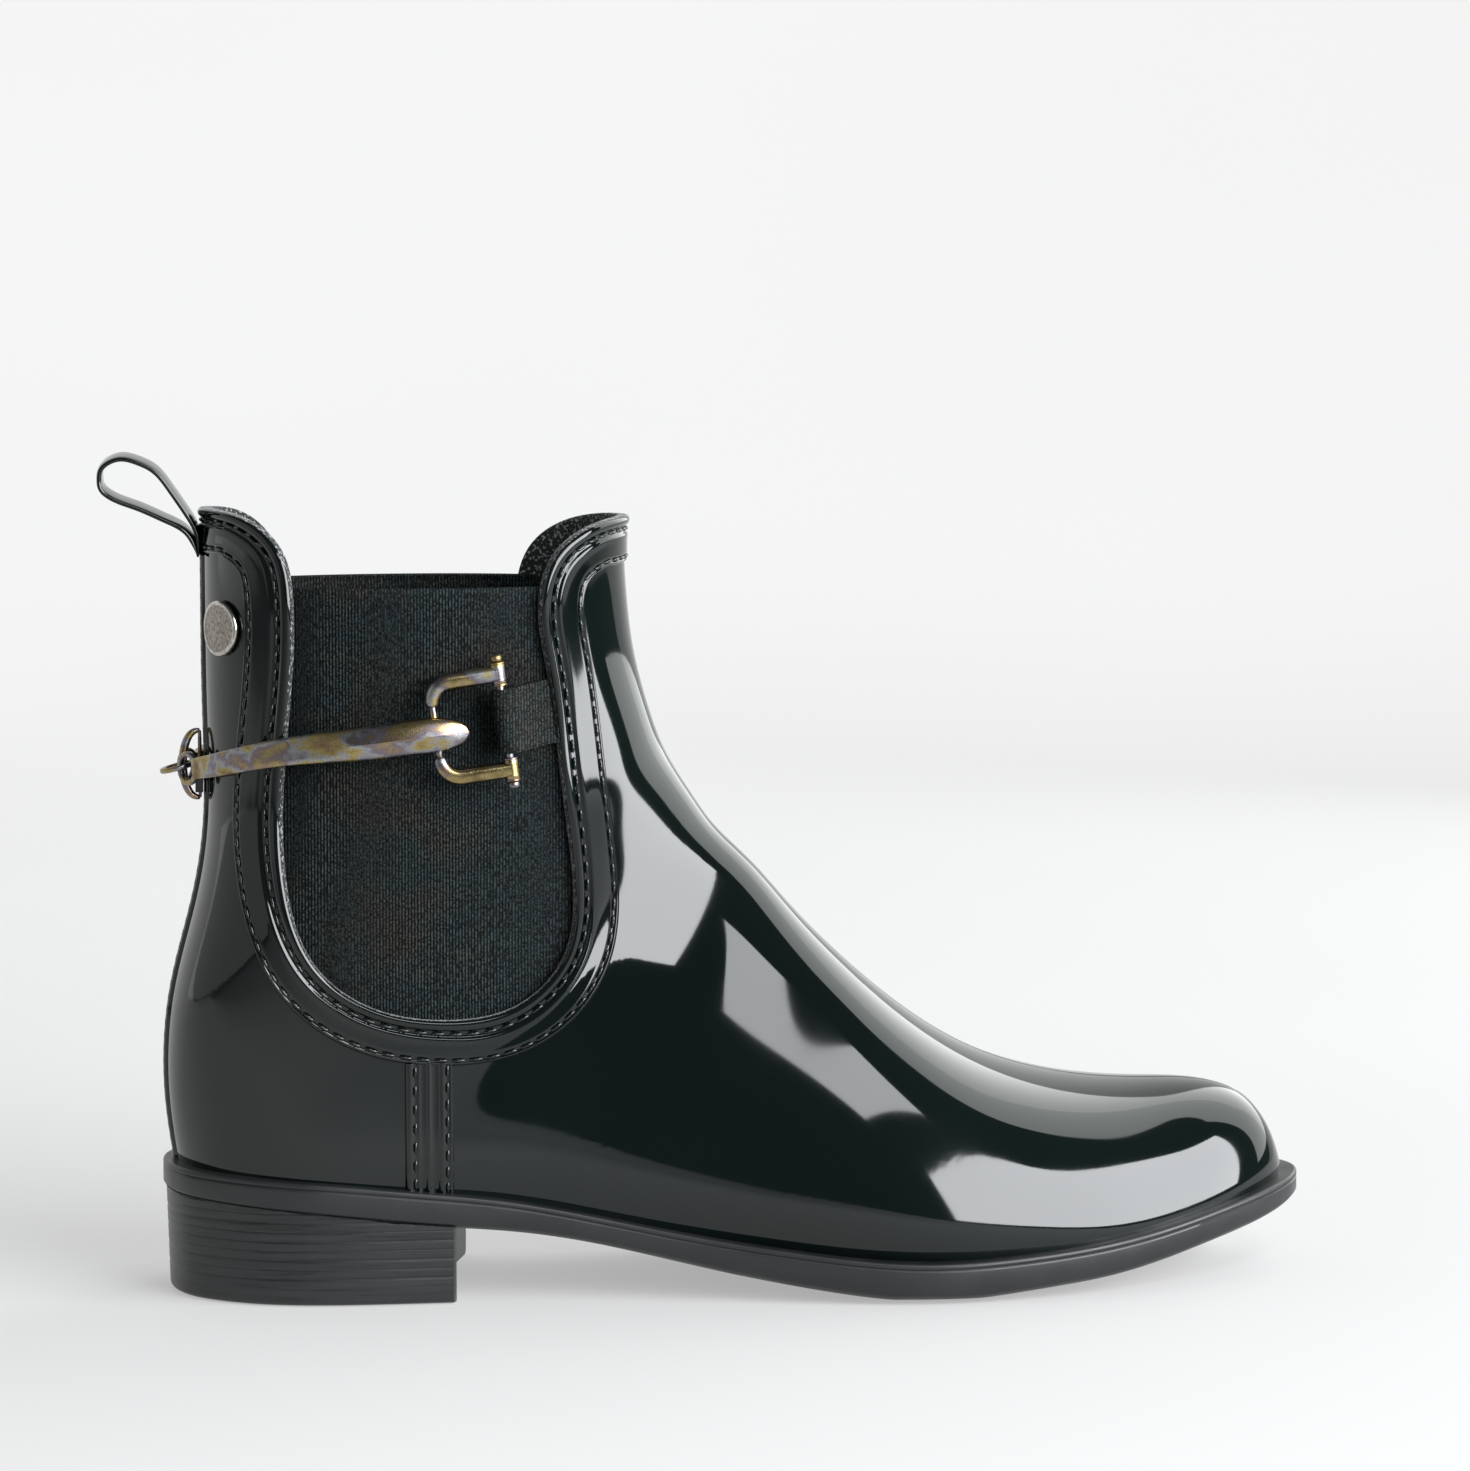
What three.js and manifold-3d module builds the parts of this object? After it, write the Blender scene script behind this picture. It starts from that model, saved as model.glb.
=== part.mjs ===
// Chelsea rain boot, right foot, standing empty on its sole. Millimetres, +Z up.
// +X points to the toe along the heel-to-toe line, -Y is the outer (lateral) side.
// The origin is on the floor under the middle of the heel.
import * as THREE from 'three';
import { mergeVertices } from 'three/addons/utils/BufferGeometryUtils.js';
import Module from 'manifold-3d';

const wasm = await Module();
wasm.setup();

// Last and sole
const LENGTH = 268;          // outsole, heel back to toe tip
const HEEL_BACK = 33.7;      // from the origin back to the heel's rearmost point
const BALL_WIDTH = 92.5;     // outsole at the ball
const BALL_EDGE = 9.4;       // height of the sole's rim at the ball
const HEEL_RISE = 20.6;      // rim at the heel's back over rim at the ball
const TOE_SPRING = 12.2;     // rim at the toe tip over rim at the ball
const SIDE_WALL = 8.4;       // height of the outsole's side
const TREAD_EDGE = 7.5;      // width of the cambered margin of the sole's underside
const TREAD_CAMBER = 2.3;    // height of that margin at the side
const EDGE_ROUND = 1.3;      // rounded lower edge of the heel
const RIM_ROUND = 0.7;       // rounded upper edge of the sole
const LEDGE_TOE = 3.5;       // ledge of the sole round the upper, at the toe
const LEDGE_HEEL = 2.4;      // the same at the heel's back
const GAP = 0.3;             // between two pieces that touch
const INSOLE_THICK = 3;
const INSOLE_PLAY = 2.0;     // insole's edge off the upper's wall

// Heel block
const BREAST_LATERAL = 31.5; // x of the breast at its outer corner
const BREAST_MEDIAL = 39.6;  // x of the breast at its inner corner
const BREAST_HOLLOW = 3.5;   // depth of the breast's hollow
const HEEL_TAPER = 0.9;      // drawn in towards the floor
const HEEL_INSET = 0.5;      // heel's side behind the outsole's side
const TOP_LIFT = 6.2;        // plain lowest lift
const LIFT_STEP = 4.3;       // distance of the grooves between the lifts
const LIFT_GROOVE = 0.5;     // their depth and half height
const LIFT_COUNT = 4;

// Upper
const UPPER_HEIGHT = 149;    // collar at the back over the sole's rim
const GIRTH_WIDTH = 0.951 * BALL_WIDTH;   // upper's width at the ball
const SHAFT_WIDTH = 0.7135 * BALL_WIDTH;  // upper's width at the collar
const WALL = 2;
const BORDER = 9.4;          // raised border round collar and gusset
const RAISE = 0.7;           // height of borders and seams over the wall
const SEAM_WIDTH = 9.8;      // seam strip under the gusset
const SEAM_X = 25.6;         // its middle
const BACK_SEAM = 4.6;       // width of the ridge down the back
const GUSSET_THICK = 1.2;
const GUSSET_TURN = 5;       // elastic behind the border, where it is sewn
const GUSSET_DROP = 16.5;    // elastic's free edge below the collar

// Pull loop and badge
const LOOP_REACH = 23.5;     // loop's depth behind the back seam
const LOOP_WIDTH = 9;
const LOOP_THICK = 1.4;
const BADGE_DIAMETER = 12.5;
const BADGE_THICK = 1.1;
const BADGE_DROP = 26;       // badge's middle below the collar
const BADGE_TURN = 4.6;      // badge's middle round from the back seam, along the length

// Bit ornament: two bars hooked in one ring behind the boot, each with a D-ring in front
const BAR_LEVEL = 120.4;     // height of the link ring
const BAR_CLIMB = 10.3;      // the bars' rise from back to front
const BAR_BACK = [4.8, 2.4]; // height and thickness at the eye
const BAR_FRONT = [8.5, 4.2];
const BAR_STANDOFF = 2.9;    // bar's middle over the upper
const EYE_OUTER = 7.9;
const EYE_BAND = 1.4;
const EYE_BEHIND = 4.3;      // eye's middle behind the back seam
const EYE_ASIDE = 4.7;       // and off the boot's middle plane
const EYE_TURN = 58;         // degrees, the eye's plane off the side view
const LINK_OUTER = 8.6;
const LINK_WIRE = 1.2;
const LINK_TILT = 15;        // degrees, outer end low
const LINK_BEHIND = 2.2;     // its middle behind the eyes
const KEEPER_WIRE = 2;
const KEEPER_HEIGHT = 15.4;
const KEEPER_DEPTH = 3.9;
const KEEPER_PIN = 0.9;
const KEEPER_PLAY = 0.1;     // the pin off the back seam, over the gap
const TAB_HEIGHT = 3.4;      // tab that holds the keeper's pin on the back seam
const TAB_WIDTH = 5;
const TAB_WALL = 0.4;        // round the pin's hole
const D_WIRE = 3.8;
const D_HALF = 10.8;         // arms off the D-ring's middle
const D_DEPTH = 15.6;        // bow to strap pin
const D_CORNER = 4.6;
const D_PIN = 1.6;           // thin pin through the bar's end
const D_TILT = 7.9;          // degrees, strap pin leaning back at its top
const D_X = 42.7;            // strap pin's middle
const BARREL = [3.3, 5.4];   // diameter and height of the sleeves on the strap pin
const KNOB = [2.2, 1.6];
const STRAP_PIN = 1.8;
const STRAP_WIDTH = 14.4;
const STRAP_THICK = 1.1;

const rad = THREE.MathUtils.degToRad;
const alongLength = (share) => share * LENGTH - HEEL_BACK;

// C2 cubic spline through (knot, value) pairs, natural at its ends or flat at its start
function spline(knots, values, flatStart = false) {
  const n = knots.length;
  const lower = new Array(n).fill(0);
  const diagonal = new Array(n).fill(1);
  const upper = new Array(n).fill(0);
  const bend = new Array(n).fill(0);
  const slope = (i) => (values[i + 1] - values[i]) / (knots[i + 1] - knots[i]);
  for (let i = 1; i < n - 1; i += 1) {
    lower[i] = knots[i] - knots[i - 1];
    upper[i] = knots[i + 1] - knots[i];
    diagonal[i] = 2 * (lower[i] + upper[i]);
    bend[i] = 6 * (slope(i) - slope(i - 1));
  }
  if (flatStart) {
    upper[0] = knots[1] - knots[0];
    diagonal[0] = 2 * upper[0];
    bend[0] = 6 * slope(0);
  }
  for (let i = 1; i < n; i += 1) {
    const factor = lower[i] / diagonal[i - 1];
    diagonal[i] -= factor * upper[i - 1];
    bend[i] -= factor * bend[i - 1];
  }
  bend[n - 1] /= diagonal[n - 1];
  for (let i = n - 2; i >= 0; i -= 1) {
    bend[i] = (bend[i] - upper[i] * bend[i + 1]) / diagonal[i];
  }
  return (at) => {
    const t = Math.min(Math.max(at, knots[0]), knots[n - 1]);
    let i = 0;
    while (i < n - 2 && t > knots[i + 1]) i += 1;
    const span = knots[i + 1] - knots[i];
    const a = (knots[i + 1] - t) / span;
    const b = 1 - a;
    const curve = ((a ** 3 - a) * bend[i] + (b ** 3 - b) * bend[i + 1]) * span * span / 6;
    return a * values[i] + b * values[i + 1] + curve;
  };
}

// Smooth curve through points of equal dimension, with its length as the parameter
function smoothLine(points, samples) {
  const knots = [0];
  for (let i = 1; i < points.length; i += 1) {
    const gaps = points[i].map((value, k) => value - points[i - 1][k]);
    knots.push(knots[i - 1] + Math.hypot(...gaps));
  }
  const lines = points[0].map((_, k) => spline(knots, points.map((p) => p[k])));
  const end = knots[knots.length - 1];
  return Array.from({ length: samples + 1 }, (_, i) => lines.map((line) => line(end * i / samples)));
}

// A closed mesh becomes a solid. Triangles on a pole go, and an inside-out mesh is turned.
function solid(geometry) {
  const bare = new THREE.BufferGeometry();
  bare.setAttribute('position', geometry.getAttribute('position'));
  if (geometry.index) bare.setIndex(geometry.index);
  const merged = mergeVertices(bare, 1e-4);
  const place = merged.getAttribute('position').array;
  const source = merged.index.array;
  const triangles = [];
  let volume = 0;
  for (let i = 0; i < source.length; i += 3) {
    const [a, b, c] = [source[i], source[i + 1], source[i + 2]];
    if (a === b || b === c || c === a) continue;
    triangles.push(a, b, c);
    const [p, q, r] = [a, b, c].map((k) => new THREE.Vector3().fromArray(place, 3 * k));
    volume += p.dot(q.cross(r));
  }
  if (volume < 0) triangles.reverse();
  return new wasm.Manifold(new wasm.Mesh({
    numProp: 3,
    vertProperties: new Float32Array(place),
    triVerts: new Uint32Array(triangles),
  }));
}

// Body through rings of points. Each ring starts at one end of its mirror line.
function lofted(rings) {
  const count = rings[0].length;
  const index = [];
  for (let i = 0; i < rings.length - 1; i += 1) {
    for (let j = 0; j < count; j += 1) {
      const a = i * count + j;
      const b = i * count + (j + 1) % count;
      index.push(a, b, b + count, a, b + count, a + count);
    }
  }
  for (let j = 0; j < count / 2; j += 1) {
    const [a, b, c, d] = [j, j + 1, count - j - 1, (count - j) % count];
    const last = (rings.length - 1) * count;
    index.push(a, c, b, a, d, c);
    index.push(last + a, last + b, last + c, last + a, last + c, last + d);
  }
  const geometry = new THREE.BufferGeometry();
  geometry.setAttribute('position', new THREE.Float32BufferAttribute(rings.flat(2), 3));
  geometry.setIndex(index);
  return solid(geometry);
}

// Side outline in x and z, extruded across the boot
function acrossPrism(outline, from, to) {
  const shape = new THREE.Shape(outline.map(([x, z]) => new THREE.Vector2(x, z)));
  const geometry = new THREE.ExtrudeGeometry(shape, { depth: to - from, bevelEnabled: false, steps: 1 });
  geometry.rotateX(Math.PI / 2);
  geometry.translate(0, to, 0);
  return solid(geometry);
}

function block(min, max) {
  const size = max.map((value, k) => value - min[k]);
  const geometry = new THREE.BoxGeometry(...size);
  geometry.translate(...min.map((value, k) => value + size[k] / 2));
  return solid(geometry);
}

// Round bar from one point to another
function rod(from, to, diameter, sides = 8) {
  const a = new THREE.Vector3(...from);
  const axis = new THREE.Vector3(...to).sub(a);
  const geometry = new THREE.CylinderGeometry(diameter / 2, diameter / 2, axis.length(), sides);
  const turn = new THREE.Quaternion().setFromUnitVectors(new THREE.Vector3(0, 1, 0), axis.clone().normalize());
  geometry.applyQuaternion(turn);
  geometry.translate(...a.addScaledVector(axis, 0.5));
  return solid(geometry);
}

// Bar with rounded-off corners swept along a path. size(t) gives its height and thickness.
function sweptBar(path, size, sides = 8, squareness = 1) {
  const up = new THREE.Vector3(0, 0, 1);
  return lofted(path.map((point, i) => {
    const before = new THREE.Vector3(...path[Math.max(i - 1, 0)]);
    const after = new THREE.Vector3(...path[Math.min(i + 1, path.length - 1)]);
    const tangent = after.sub(before).normalize();
    const side = Math.abs(tangent.y) < 1e-9 ? new THREE.Vector3(0, 1, 0) : tangent.clone().cross(up).normalize();
    const rise = side.clone().cross(tangent);
    const [height, thickness] = size(i / (path.length - 1));
    return Array.from({ length: sides }, (_, j) => {
      const angle = 2 * Math.PI * j / sides;
      const round = (value) => Math.sign(value) * Math.abs(value) ** squareness;
      return new THREE.Vector3(...point)
        .addScaledVector(rise, round(Math.cos(angle)) * height / 2)
        .addScaledVector(side, round(Math.sin(angle)) * thickness / 2)
        .toArray();
    });
  }));
}

// Flat ring round the y axis: outer diameter, radial band and width
function bandRing(outer, band, width, segments) {
  const [near, far, half] = [outer / 2 - band, outer / 2, width / 2];
  const chamfer = Math.min(band, width) / 4;
  const profile = [
    [near, -half + chamfer], [near + chamfer, -half], [far - chamfer, -half], [far, -half + chamfer],
    [far, half - chamfer], [far - chamfer, half], [near + chamfer, half], [near, half - chamfer],
    [near, -half + chamfer],
  ];
  return new THREE.LatheGeometry(profile.map(([x, y]) => new THREE.Vector2(x, y)), segments);
}

// Sole: height of the rim, and thickness under it
// share of the length, share of HEEL_RISE, share of TOE_SPRING
const RIM = [
  [0.000, 1.000, 0.00],
  [0.074, 0.956, 0.00],
  [0.150, 0.885, 0.00],
  [0.221, 0.790, 0.00],
  [0.280, 0.700, 0.00],
  [0.340, 0.558, 0.00],
  [0.398, 0.398, 0.00],
  [0.448, 0.272, 0.00],
  [0.530, 0.115, 0.00],
  [0.618, 0.005, 0.00],
  [0.723, 0.000, 0.06],
  [0.838, 0.000, 0.32],
  [0.931, 0.000, 0.70],
  [1.000, 0.000, 1.00],
];
// share of the length, share of SIDE_WALL
const THICKNESS = [
  [0.000, 0.90],
  [0.150, 1.02],
  [0.246, 1.02],
  [0.340, 0.89],
  [0.400, 0.89],
  [0.480, 1.00],
  [0.548, 1.09],
  [0.618, 1.15],
  [0.675, 1.15],
  [0.730, 1.09],
  [0.810, 1.06],
  [0.895, 0.97],
  [0.950, 0.93],
  [1.000, 0.80],
];
const column = (table, k) => table.map((row) => row[k]);
const heelShare = spline(column(RIM, 0), column(RIM, 1));
const toeShare = spline(column(RIM, 0), column(RIM, 2));
const wallShare = spline(column(THICKNESS, 0), column(THICKNESS, 1));
const shareOf = (x) => (x + HEEL_BACK) / LENGTH;
const rimHeight = (x) => BALL_EDGE + HEEL_RISE * heelShare(shareOf(x)) + TOE_SPRING * toeShare(shareOf(x));
const treadHeight = (x) => Math.max(0, rimHeight(x) - SIDE_WALL * wallShare(shareOf(x)));

// Plan outline of the sole: share of the length, lateral and medial share of the ball's width
const OUTLINE = [
  [0.000, 0.000, 0.000],
  [0.014, 0.154, 0.154],
  [0.037, 0.226, 0.225],
  [0.074, 0.291, 0.289],
  [0.118, 0.327, 0.322],
  [0.170, 0.340, 0.331],
  [0.241, 0.342, 0.322],
  [0.320, 0.350, 0.307],
  [0.405, 0.375, 0.306],
  [0.490, 0.425, 0.348],
  [0.573, 0.480, 0.420],
  [0.648, 0.510, 0.472],
  [0.723, 0.495, 0.486],
  [0.797, 0.450, 0.466],
  [0.872, 0.364, 0.402],
  [0.928, 0.275, 0.319],
  [0.969, 0.188, 0.218],
  [1.000, 0.000, 0.000],
];
const sweepOf = (share) => Math.acos(1 - 2 * share);
const outlineKnots = column(OUTLINE, 0).map(sweepOf);
const lateralHalf = spline(outlineKnots, column(OUTLINE, 1));
const medialHalf = spline(outlineKnots, column(OUTLINE, 2));

// Point of the outline at a turn of 0 to 2 pi, from the heel's back past the lateral side
function outlinePoint(turn) {
  const half = turn <= Math.PI ? turn : 2 * Math.PI - turn;
  const x = alongLength((1 - Math.cos(half)) / 2);
  return turn <= Math.PI
    ? [x, -BALL_WIDTH * lateralHalf(half)]
    : [x, BALL_WIDTH * medialHalf(half)];
}

// The same outline drawn in by a distance that may differ from heel to toe
function insetPoint(turn, atHeel, atToe = atHeel) {
  const step = 1e-3;
  const [x, y] = outlinePoint(turn);
  const before = outlinePoint(turn - step < 0 ? turn - step + 2 * Math.PI : turn - step);
  const after = outlinePoint(turn + step > 2 * Math.PI ? turn + step - 2 * Math.PI : turn + step);
  const [dx, dy] = [after[0] - before[0], after[1] - before[1]];
  const inset = (atHeel + (atToe - atHeel) * shareOf(x)) / Math.hypot(dx, dy);
  return [x - dy * inset, y + dx * inset];
}

function outlineRing(count, height, atHeel, atToe = atHeel) {
  return Array.from({ length: count }, (_, i) => {
    const [x, y] = insetPoint(2 * Math.PI * i / count, atHeel, atToe);
    return [x, y, height(x)];
  });
}

const OUTLINE_STEPS = 60;

// Underside towards its edge: share of TREAD_EDGE in from the side, share of TREAD_CAMBER up
const TREAD_PROFILE = [
  [1.00, 0.00],
  [0.36, 0.33],
  [0.12, 0.62],
  [0.00, 1.00],
];

// Line of the rim in the side view, moved up by a gap, and all that lies over or under it
function rimPrism(gap, over) {
  const count = 36;
  const line = Array.from({ length: count + 1 }, (_, i) => {
    const x = alongLength(i / count);
    return [x, rimHeight(x) + gap];
  });
  line[0][0] -= HEEL_BACK;
  line[count][0] += HEEL_BACK;
  const far = (over ? 1 : -1) * UPPER_HEIGHT;
  return acrossPrism([...line, [line[count][0], far], [line[0][0], far]], -BALL_WIDTH, BALL_WIDTH);
}

function outsoleSolid() {
  const lip = 2 * RIM_ROUND;
  const camber = ([inset, rise]) => {
    return outlineRing(OUTLINE_STEPS, (x) => treadHeight(x) + rise * TREAD_CAMBER, inset * TREAD_EDGE);
  };
  return lofted([
    ...TREAD_PROFILE.map(camber),
    outlineRing(OUTLINE_STEPS, (x) => rimHeight(x) - RIM_ROUND, 0),
    outlineRing(OUTLINE_STEPS, (x) => rimHeight(x) - RIM_ROUND + lip, lip),
  ]).subtract(rimPrism(0, true));
}

// Heel: lifts with grooves, cut by the sloped underside of the sole and by the breast
function heelSolid() {
  const steps = 40;
  const rings = [];
  const level = (z, inset) => {
    const drawn = HEEL_INSET + HEEL_TAPER * (1 - z / (BALL_EDGE + HEEL_RISE)) + inset;
    rings.push(outlineRing(steps, () => z, drawn));
  };
  level(0, EDGE_ROUND);
  level(EDGE_ROUND * 0.3, EDGE_ROUND * 0.3);
  level(EDGE_ROUND, 0);
  for (let i = 0; i < LIFT_COUNT; i += 1) {
    const z = TOP_LIFT + LIFT_STEP * i;
    level(z - LIFT_GROOVE, 0);
    level(z, LIFT_GROOVE);
    level(z + LIFT_GROOVE, 0);
  }
  level(BALL_EDGE + HEEL_RISE, 0);
  const count = 12;
  const under = Array.from({ length: count + 1 }, (_, i) => {
    const x = -2 * HEEL_BACK + 4 * HEEL_BACK * i / count;
    return [x, treadHeight(Math.max(x, -HEEL_BACK)) - GAP];
  });
  const top = BALL_EDGE + 2 * HEEL_RISE;
  const room = acrossPrism([...under, [2 * HEEL_BACK, top], [-2 * HEEL_BACK, top]], -BALL_WIDTH, BALL_WIDTH);
  const breastMiddle = (BREAST_LATERAL + BREAST_MEDIAL) / 2 - BREAST_HOLLOW;
  const half = BALL_WIDTH * (lateralHalf(sweepOf(0.25)) + medialHalf(sweepOf(0.25))) / 2;
  const breast = smoothLine([
    [2 * BREAST_LATERAL - BREAST_MEDIAL, -2 * half],
    [BREAST_LATERAL, -half],
    [breastMiddle, 0],
    [BREAST_MEDIAL, half],
    [2 * BREAST_MEDIAL - BREAST_LATERAL, 2 * half],
  ], 16);
  const front = [...breast, [LENGTH, 2 * half], [LENGTH, -2 * half]];
  const shape = new THREE.Shape(front.map(([x, y]) => new THREE.Vector2(x, y)));
  const ahead = new THREE.ExtrudeGeometry(shape, { depth: 2 * top, bevelEnabled: false });
  ahead.translate(0, 0, -top / 2);
  return lofted(rings).subtract(room).subtract(solid(ahead));
}

function insoleSolid() {
  const atHeel = LEDGE_HEEL + WALL + INSOLE_PLAY;
  const atToe = LEDGE_TOE + WALL + INSOLE_PLAY;
  return lofted([
    outlineRing(44, (x) => rimHeight(x) - GAP, atHeel, atToe),
    outlineRing(44, (x) => rimHeight(x) + GAP + INSOLE_THICK, atHeel, atToe),
  ]).subtract(rimPrism(GAP, false));
}

// Sections of the upper, from the toe over the instep, round the heel and up the shaft.
// Each lies in a plane across the boot, from a front point to a back point. The lower
// back points lie under the sole's rim, where the sole cuts the form off.
// front x, front z, back x, back z: share of LENGTH, share of UPPER_HEIGHT over the rim there
// girth, shaft: width as a share of GIRTH_WIDTH and of SHAFT_WIDTH
// centre, lean: shift to the medial side, and of the front point, as shares of BALL_WIDTH
// low, square: how much the section is widest near its back point, and how boxy it is
const SECTIONS = [
  [0.9877, -0.011, 0.9877, -0.011, 0.000, 0.000, 0.014, 0.000, -0.10, 0.10],
  [0.9716, 0.083, 0.9785, -0.045, 0.245, 0.000, 0.016, 0.003, -0.10, 0.12],
  [0.9330, 0.148, 0.9500, -0.082, 0.465, 0.000, 0.022, 0.008, -0.12, 0.15],
  [0.8610, 0.181, 0.8910, -0.099, 0.700, 0.000, 0.025, 0.015, -0.15, 0.20],
  [0.7860, 0.2155, 0.8200, -0.097, 0.882, 0.000, 0.018, 0.020, -0.17, 0.24],
  [0.7116, 0.2705, 0.7410, -0.091, 0.983, 0.000, 0.009, 0.022, -0.18, 0.26],
  [0.6480, 0.346, 0.6560, -0.090, 1.010, 0.000, -0.003, 0.024, -0.20, 0.28],
  [0.5960, 0.414, 0.5620, -0.092, 0.936, 0.000, -0.014, 0.026, -0.22, 0.27],
  [0.5510, 0.467, 0.4540, -0.099, 0.610, 0.250, -0.018, 0.026, -0.24, 0.24],
  [0.5135, 0.497, 0.3270, -0.117, 0.300, 0.530, -0.013, 0.022, -0.25, 0.22],
  [0.4809, 0.521, 0.1850, -0.153, 0.100, 0.764, -0.002, 0.016, -0.20, 0.25],
  [0.4568, 0.562, 0.0440, -0.183, 0.000, 0.895, 0.002, 0.009, -0.12, 0.30],
  [0.4382, 0.614, 0.0168, -0.054, 0.000, 0.892, 0.002, 0.004, -0.05, 0.30],
  [0.4246, 0.671, 0.0043, 0.101, 0.000, 0.914, 0.001, 0.000, 0.00, 0.27],
  [0.4140, 0.735, 0.0093, 0.262, 0.000, 0.930, 0.000, 0.000, 0.00, 0.22],
  [0.4063, 0.802, 0.0280, 0.399, 0.000, 0.940, 0.000, 0.000, 0.00, 0.17],
  [0.4020, 0.872, 0.0396, 0.530, 0.000, 0.955, 0.000, 0.000, 0.00, 0.13],
  [0.4000, 0.940, 0.0396, 0.705, 0.000, 0.977, 0.000, 0.000, 0.00, 0.10],
  [0.4011, 1.007, 0.0390, 0.872, 0.000, 0.992, 0.000, 0.000, 0.00, 0.08],
  [0.4035, 1.074, 0.0390, 1.060, 0.000, 1.000, 0.000, 0.000, 0.00, 0.07],
];

// Front and back points become a middle and a half span, which stay smooth through the toe tip
const spans = SECTIONS.map(([frontX, frontZ, backX, backZ, girth, shaft, centre, lean, low, square]) => {
  const base = rimHeight(alongLength(backX));
  const front = [alongLength(frontX), base + frontZ * UPPER_HEIGHT];
  const back = [alongLength(backX), base + backZ * UPPER_HEIGHT];
  return {
    middle: [(front[0] + back[0]) / 2, (front[1] + back[1]) / 2],
    half: [(front[0] - back[0]) / 2, (front[1] - back[1]) / 2],
    width: (girth * GIRTH_WIDTH + shaft * SHAFT_WIDTH) / 2,
    centre: centre * BALL_WIDTH,
    lean: lean * BALL_WIDTH,
    low,
    square,
    ends: [...front, ...back],
  };
});
const sectionKnots = [0];
for (let i = 1; i < spans.length; i += 1) {
  const [fx, fz, bx, bz] = spans[i].ends.map((value, k) => value - spans[i - 1].ends[k]);
  sectionKnots.push(sectionKnots[i - 1] + (Math.hypot(fx, fz) + Math.hypot(bx, bz)) / 2);
}
const sectionEnd = sectionKnots[sectionKnots.length - 1];
const evenLine = (pick) => spline(sectionKnots, spans.map(pick), true);
const oddLine = (pick) => spline(sectionKnots, spans.map(pick));
const middleX = evenLine((s) => s.middle[0]);
const middleZ = evenLine((s) => s.middle[1]);
const halfX = oddLine((s) => s.half[0]);
const halfZ = oddLine((s) => s.half[1]);
const halfWidth = oddLine((s) => s.width);
const centreLine = evenLine((s) => s.centre);
const leanLine = oddLine((s) => s.lean);
const lowLine = evenLine((s) => s.low);
const squareLine = evenLine((s) => s.square);

// Across a section: 0 at the back point, a quarter turn on the lateral side, pi at the front
function acrossShape(turn, low, square) {
  const along = -Math.cos(turn);
  return Math.sin(turn) * (1 + low * along + square * along * along);
}

function widestOf(low, square) {
  let widest = 0;
  for (let i = 1; i < 48; i += 1) widest = Math.max(widest, acrossShape(Math.PI * i / 48, low, square));
  return widest;
}

function upperPoint(at, turn) {
  const along = -Math.cos(turn);
  const [low, square] = [lowLine(at), squareLine(at)];
  const across = halfWidth(at) * acrossShape(turn, low, square) / widestOf(low, square);
  return new THREE.Vector3(
    middleX(at) + halfX(at) * along,
    centreLine(at) + leanLine(at) * along - across,
    middleZ(at) + halfZ(at) * along,
  );
}

function upperNormal(at, turn) {
  if (at < 1e-6) return new THREE.Vector3(1, 0, 0);
  const step = 1e-3;
  const forward = upperPoint(at + step, turn).sub(upperPoint(at - step, turn));
  const round = upperPoint(at, turn + step).sub(upperPoint(at, turn - step));
  const normal = forward.cross(round).normalize();
  const outward = upperPoint(at, turn).sub(new THREE.Vector3(middleX(at), centreLine(at), middleZ(at)));
  return normal.dot(outward) < 0 ? normal.negate() : normal;
}

const offsetPoint = (at, turn, offset) => upperPoint(at, turn).addScaledVector(upperNormal(at, turn), offset);

// The last's form, grown or shrunk along its own normals
function lastForm(offset, sections, around) {
  const end = sectionEnd - 2e-3;
  return lofted(Array.from({ length: sections + 1 }, (_, i) => {
    const at = end * (i / sections) ** 1.2;
    return Array.from({ length: around }, (_, j) => {
      return offsetPoint(at, 2 * Math.PI * j / around, offset).toArray();
    });
  }));
}

// Section and turn of the lateral surface at a place in the side view
function sidePlace(x, z) {
  let [near, far] = [sectionKnots[1], sectionEnd];
  for (let i = 0; i < 40; i += 1) {
    const at = (near + far) / 2;
    const beyond = halfX(at) * (z - middleZ(at)) - halfZ(at) * (x - middleX(at));
    if (beyond > 0) near = at;
    else far = at;
  }
  const span = halfX(near) ** 2 + halfZ(near) ** 2;
  const along = ((x - middleX(near)) * halfX(near) + (z - middleZ(near)) * halfZ(near)) / span;
  return [near, Math.acos(-Math.min(Math.max(along, -1), 1))];
}

// Cut of gusset and collar in the side view: share of LENGTH, share of UPPER_HEIGHT over the seat
const seatHeight = BALL_EDGE + HEEL_RISE;
const collarHeight = seatHeight + UPPER_HEIGHT;
const CUT = [
  [-0.042, 1.008],
  [0.021, 1.006],
  [0.070, 0.994],
  [0.100, 0.946],
  [0.109, 0.872],
  [0.105, 0.698],
  [0.101, 0.456],
  [0.128, 0.315],
  [0.178, 0.251],
  [0.234, 0.233],
  [0.294, 0.250],
  [0.339, 0.329],
  [0.347, 0.436],
  [0.338, 0.577],
  [0.325, 0.765],
  [0.318, 0.862],
  [0.331, 0.936],
  [0.365, 0.979],
  [0.409, 0.992],
  [0.469, 0.994],
];
const CUT_STEPS = 56;
const cutLine = smoothLine(
  CUT.map(([x, z]) => [alongLength(x), seatHeight + z * UPPER_HEIGHT]),
  CUT_STEPS,
);

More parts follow.
